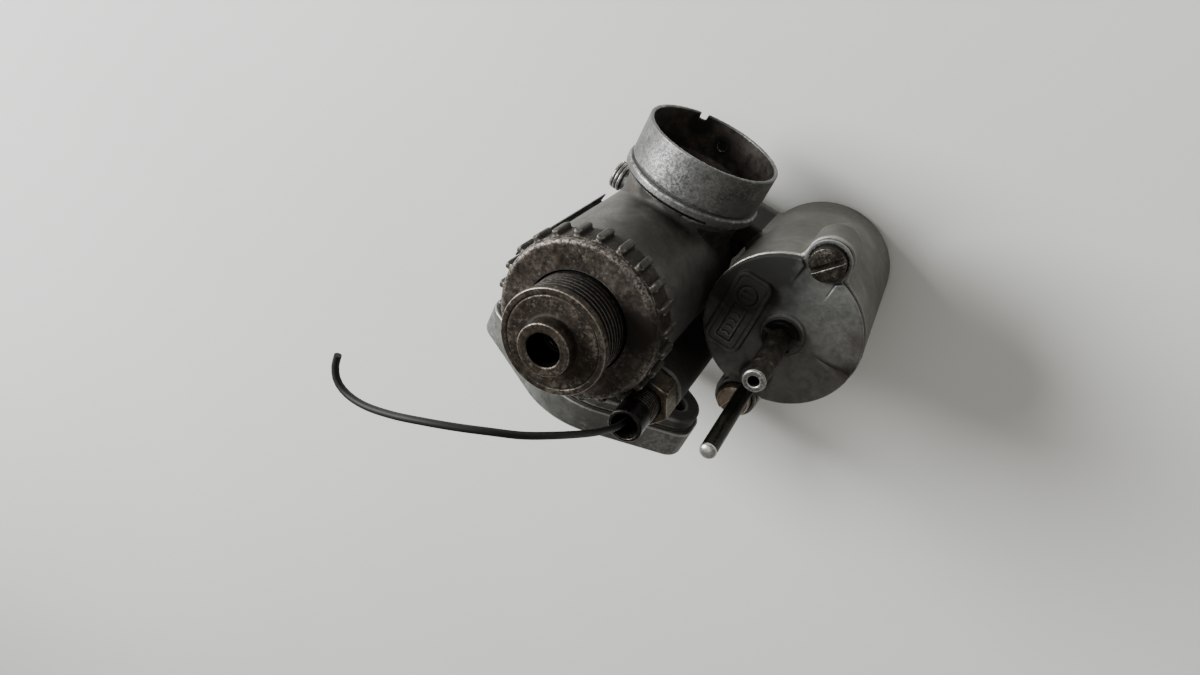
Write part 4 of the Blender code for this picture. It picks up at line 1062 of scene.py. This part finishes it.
def coil(centre, radius, low, high, turns, axis="Z"):
    """Points along a spring's wire, whose first and last three quarters of a turn lie flat."""
    per_turn = 28
    points = []
    for i in range(turns * per_turn + 1):
        turn = i / per_turn
        share = min(max((turn - 0.75) / (turns - 1.5), 0.0), 1.0)
        a, b = radius * cos(2 * pi * turn), radius * sin(2 * pi * turn)
        height = low + (high - low) * share
        offset = (a, b, height) if axis == "Z" else (height, a, b)
        points.append(Vector(centre) + Vector(offset))
    return points


def spring(name, node, points, radius):
    """A spring as a mesh, so that a joint can shorten it."""
    curve = line_piece(name + "_line", points, radius, MATERIALS["spring"], resolution=2)
    bpy.context.view_layer.update()
    mesh = bpy.data.meshes.new_from_object(curve.evaluated_get(bpy.context.evaluated_depsgraph_get()))
    bpy.data.objects.remove(curve, do_unlink=True)
    mesh.materials.clear()
    for face in mesh.polygons:
        face.use_smooth = True
    keep_bend(mesh, np.full(len(mesh.vertices), 0.5))
    mesh.materials.append(MATERIALS["spring"])
    return finish_piece(name, mesh, HELD, (node,))


def joint_spring(name, node, axis, radius, low, high, turns, wire):
    """An upright spring, with its own copy of its mesh."""
    piece = spring(name, node, coil((*axis, 0), radius, low, high, turns), wire)
    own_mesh(piece)


def make_inner():
    box = ((-17.6, BARREL_Y - 17.6, -12.8), (17.6, BARREL_Y + 17.6, 26.1))
    mesh_of("throttle_piston", slide_field, *box, 0.5, "steel", "throttle", ("throttle_slide",),
            "plated_steel")
    box = ((-26.5, -4.9, -16.9), (-13.9, 4.9, -7.1))
    for name, node, body, y in (("stop_screw", "throttle_stop_screw", "throttle_stop", STOP_Y),
                                ("air_screw", "idle_air_screw", "idle_air", AIR_Y)):
        mesh_of(name, adjuster_field, *box, 0.22, "steel", body, (node,), "plated_steel",
                Matrix.Translation((0, y * MM, 0)))
    box = ((-11.2, BARREL_Y - 11.2, -41.5), (11.2, BARREL_Y + 11.2, -27.4))
    mesh_of("plug_nut", plug_field, *box, 0.35, "old_brass", HELD, ("bottom_plug",), "dull_brass")
    joint_spring("throttle_coil", "throttle_spring", (0, BARREL_Y), 9.2, -7.0, 63.0, 7,
                 0.7)
    joint_spring("choke_coil", "choke_spring", CHOKE, 3.7, 3.9, 23.2, 6, 0.35)
    joint_spring("tickler_coil", "tickler_spring", TICKLER, 2.85, 11.2, 20.4, 5, 0.3)
    for name, node, y in (("stop_coil", "throttle_stop_spring", STOP_Y),
                          ("air_coil", "idle_air_spring", AIR_Y)):
        spring(name, node, coil((0, y, ADJUSTER_Z), 2.9, -19.6, -16.25, 4, axis="X"), 0.35)


def dress_nodes():
    """Better materials for the CAD solids that stay."""
    looks = {
        "flange_gasket": "fibre", "bowl_gasket": "fibre", "plug_washer": "fibre", "needle_jet": "brass",
        "main_jet": "brass", "idle_jet": "brass", "needle_seat": "brass", "float": "brass",
        "choke_plunger": "brass", "jet_needle": "old_brass", "float_needle": "old_brass",
        "needle_clip": "spring",
    }
    for node, look in looks.items():
        obj = NODES[node]
        for slot in obj.material_slots:
            slot.link = "OBJECT"
            slot.material = MATERIALS[look]


# -------------------- table and light

def add_lamp(name, size, power, place, colour):
    """A round lamp that looks at the object, with its size in metres and its power in watts."""
    data = bpy.data.lights.new(name, "AREA")
    data.shape = "DISK"
    data.size = size
    data.energy = power
    data.color = colour
    obj = bpy.data.objects.new(name, data)
    obj.location = place
    target = Vector((0.01, 0.06, 0.01))
    obj.rotation_euler = (target - obj.location).to_track_quat("-Z", "Y").to_euler()
    bpy.context.scene.collection.objects.link(obj)


def make_stage():
    mesh = bpy.data.meshes.new("table")
    half = 3.0
    corners = [(-half, -half, 0), (half, -half, 0), (half, half, 0), (-half, half, 0)]
    mesh.from_pydata(corners, [], [(0, 1, 2, 3)])
    mesh.materials.append(floor_material())
    table = bpy.data.objects.new("table", mesh)
    table.location.z = FLOOR_Z * MM
    bpy.context.scene.collection.objects.link(table)

    add_lamp("window", 0.7, 29.0, Vector((-1.05, 0.12, 0.72)), (0.975, 0.995, 0.985))
    add_lamp("ceiling", 1.6, 5.0, Vector((-0.2, 0.5, 1.7)), (0.99, 0.99, 0.97))
    world = bpy.data.worlds.new("room")
    world.use_nodes = True
    background = world.node_tree.nodes["Background"]
    background.inputs["Color"].default_value = (1.0, 0.96, 0.86, 1)
    background.inputs["Strength"].default_value = 0.21
    bpy.context.scene.world = world


MATERIALS = make_materials()
make_camera()
make_cable()
make_castings()
make_top()
make_lock_spring()
make_lid()
make_small_tops()
make_inner()
dress_nodes()
make_stage()
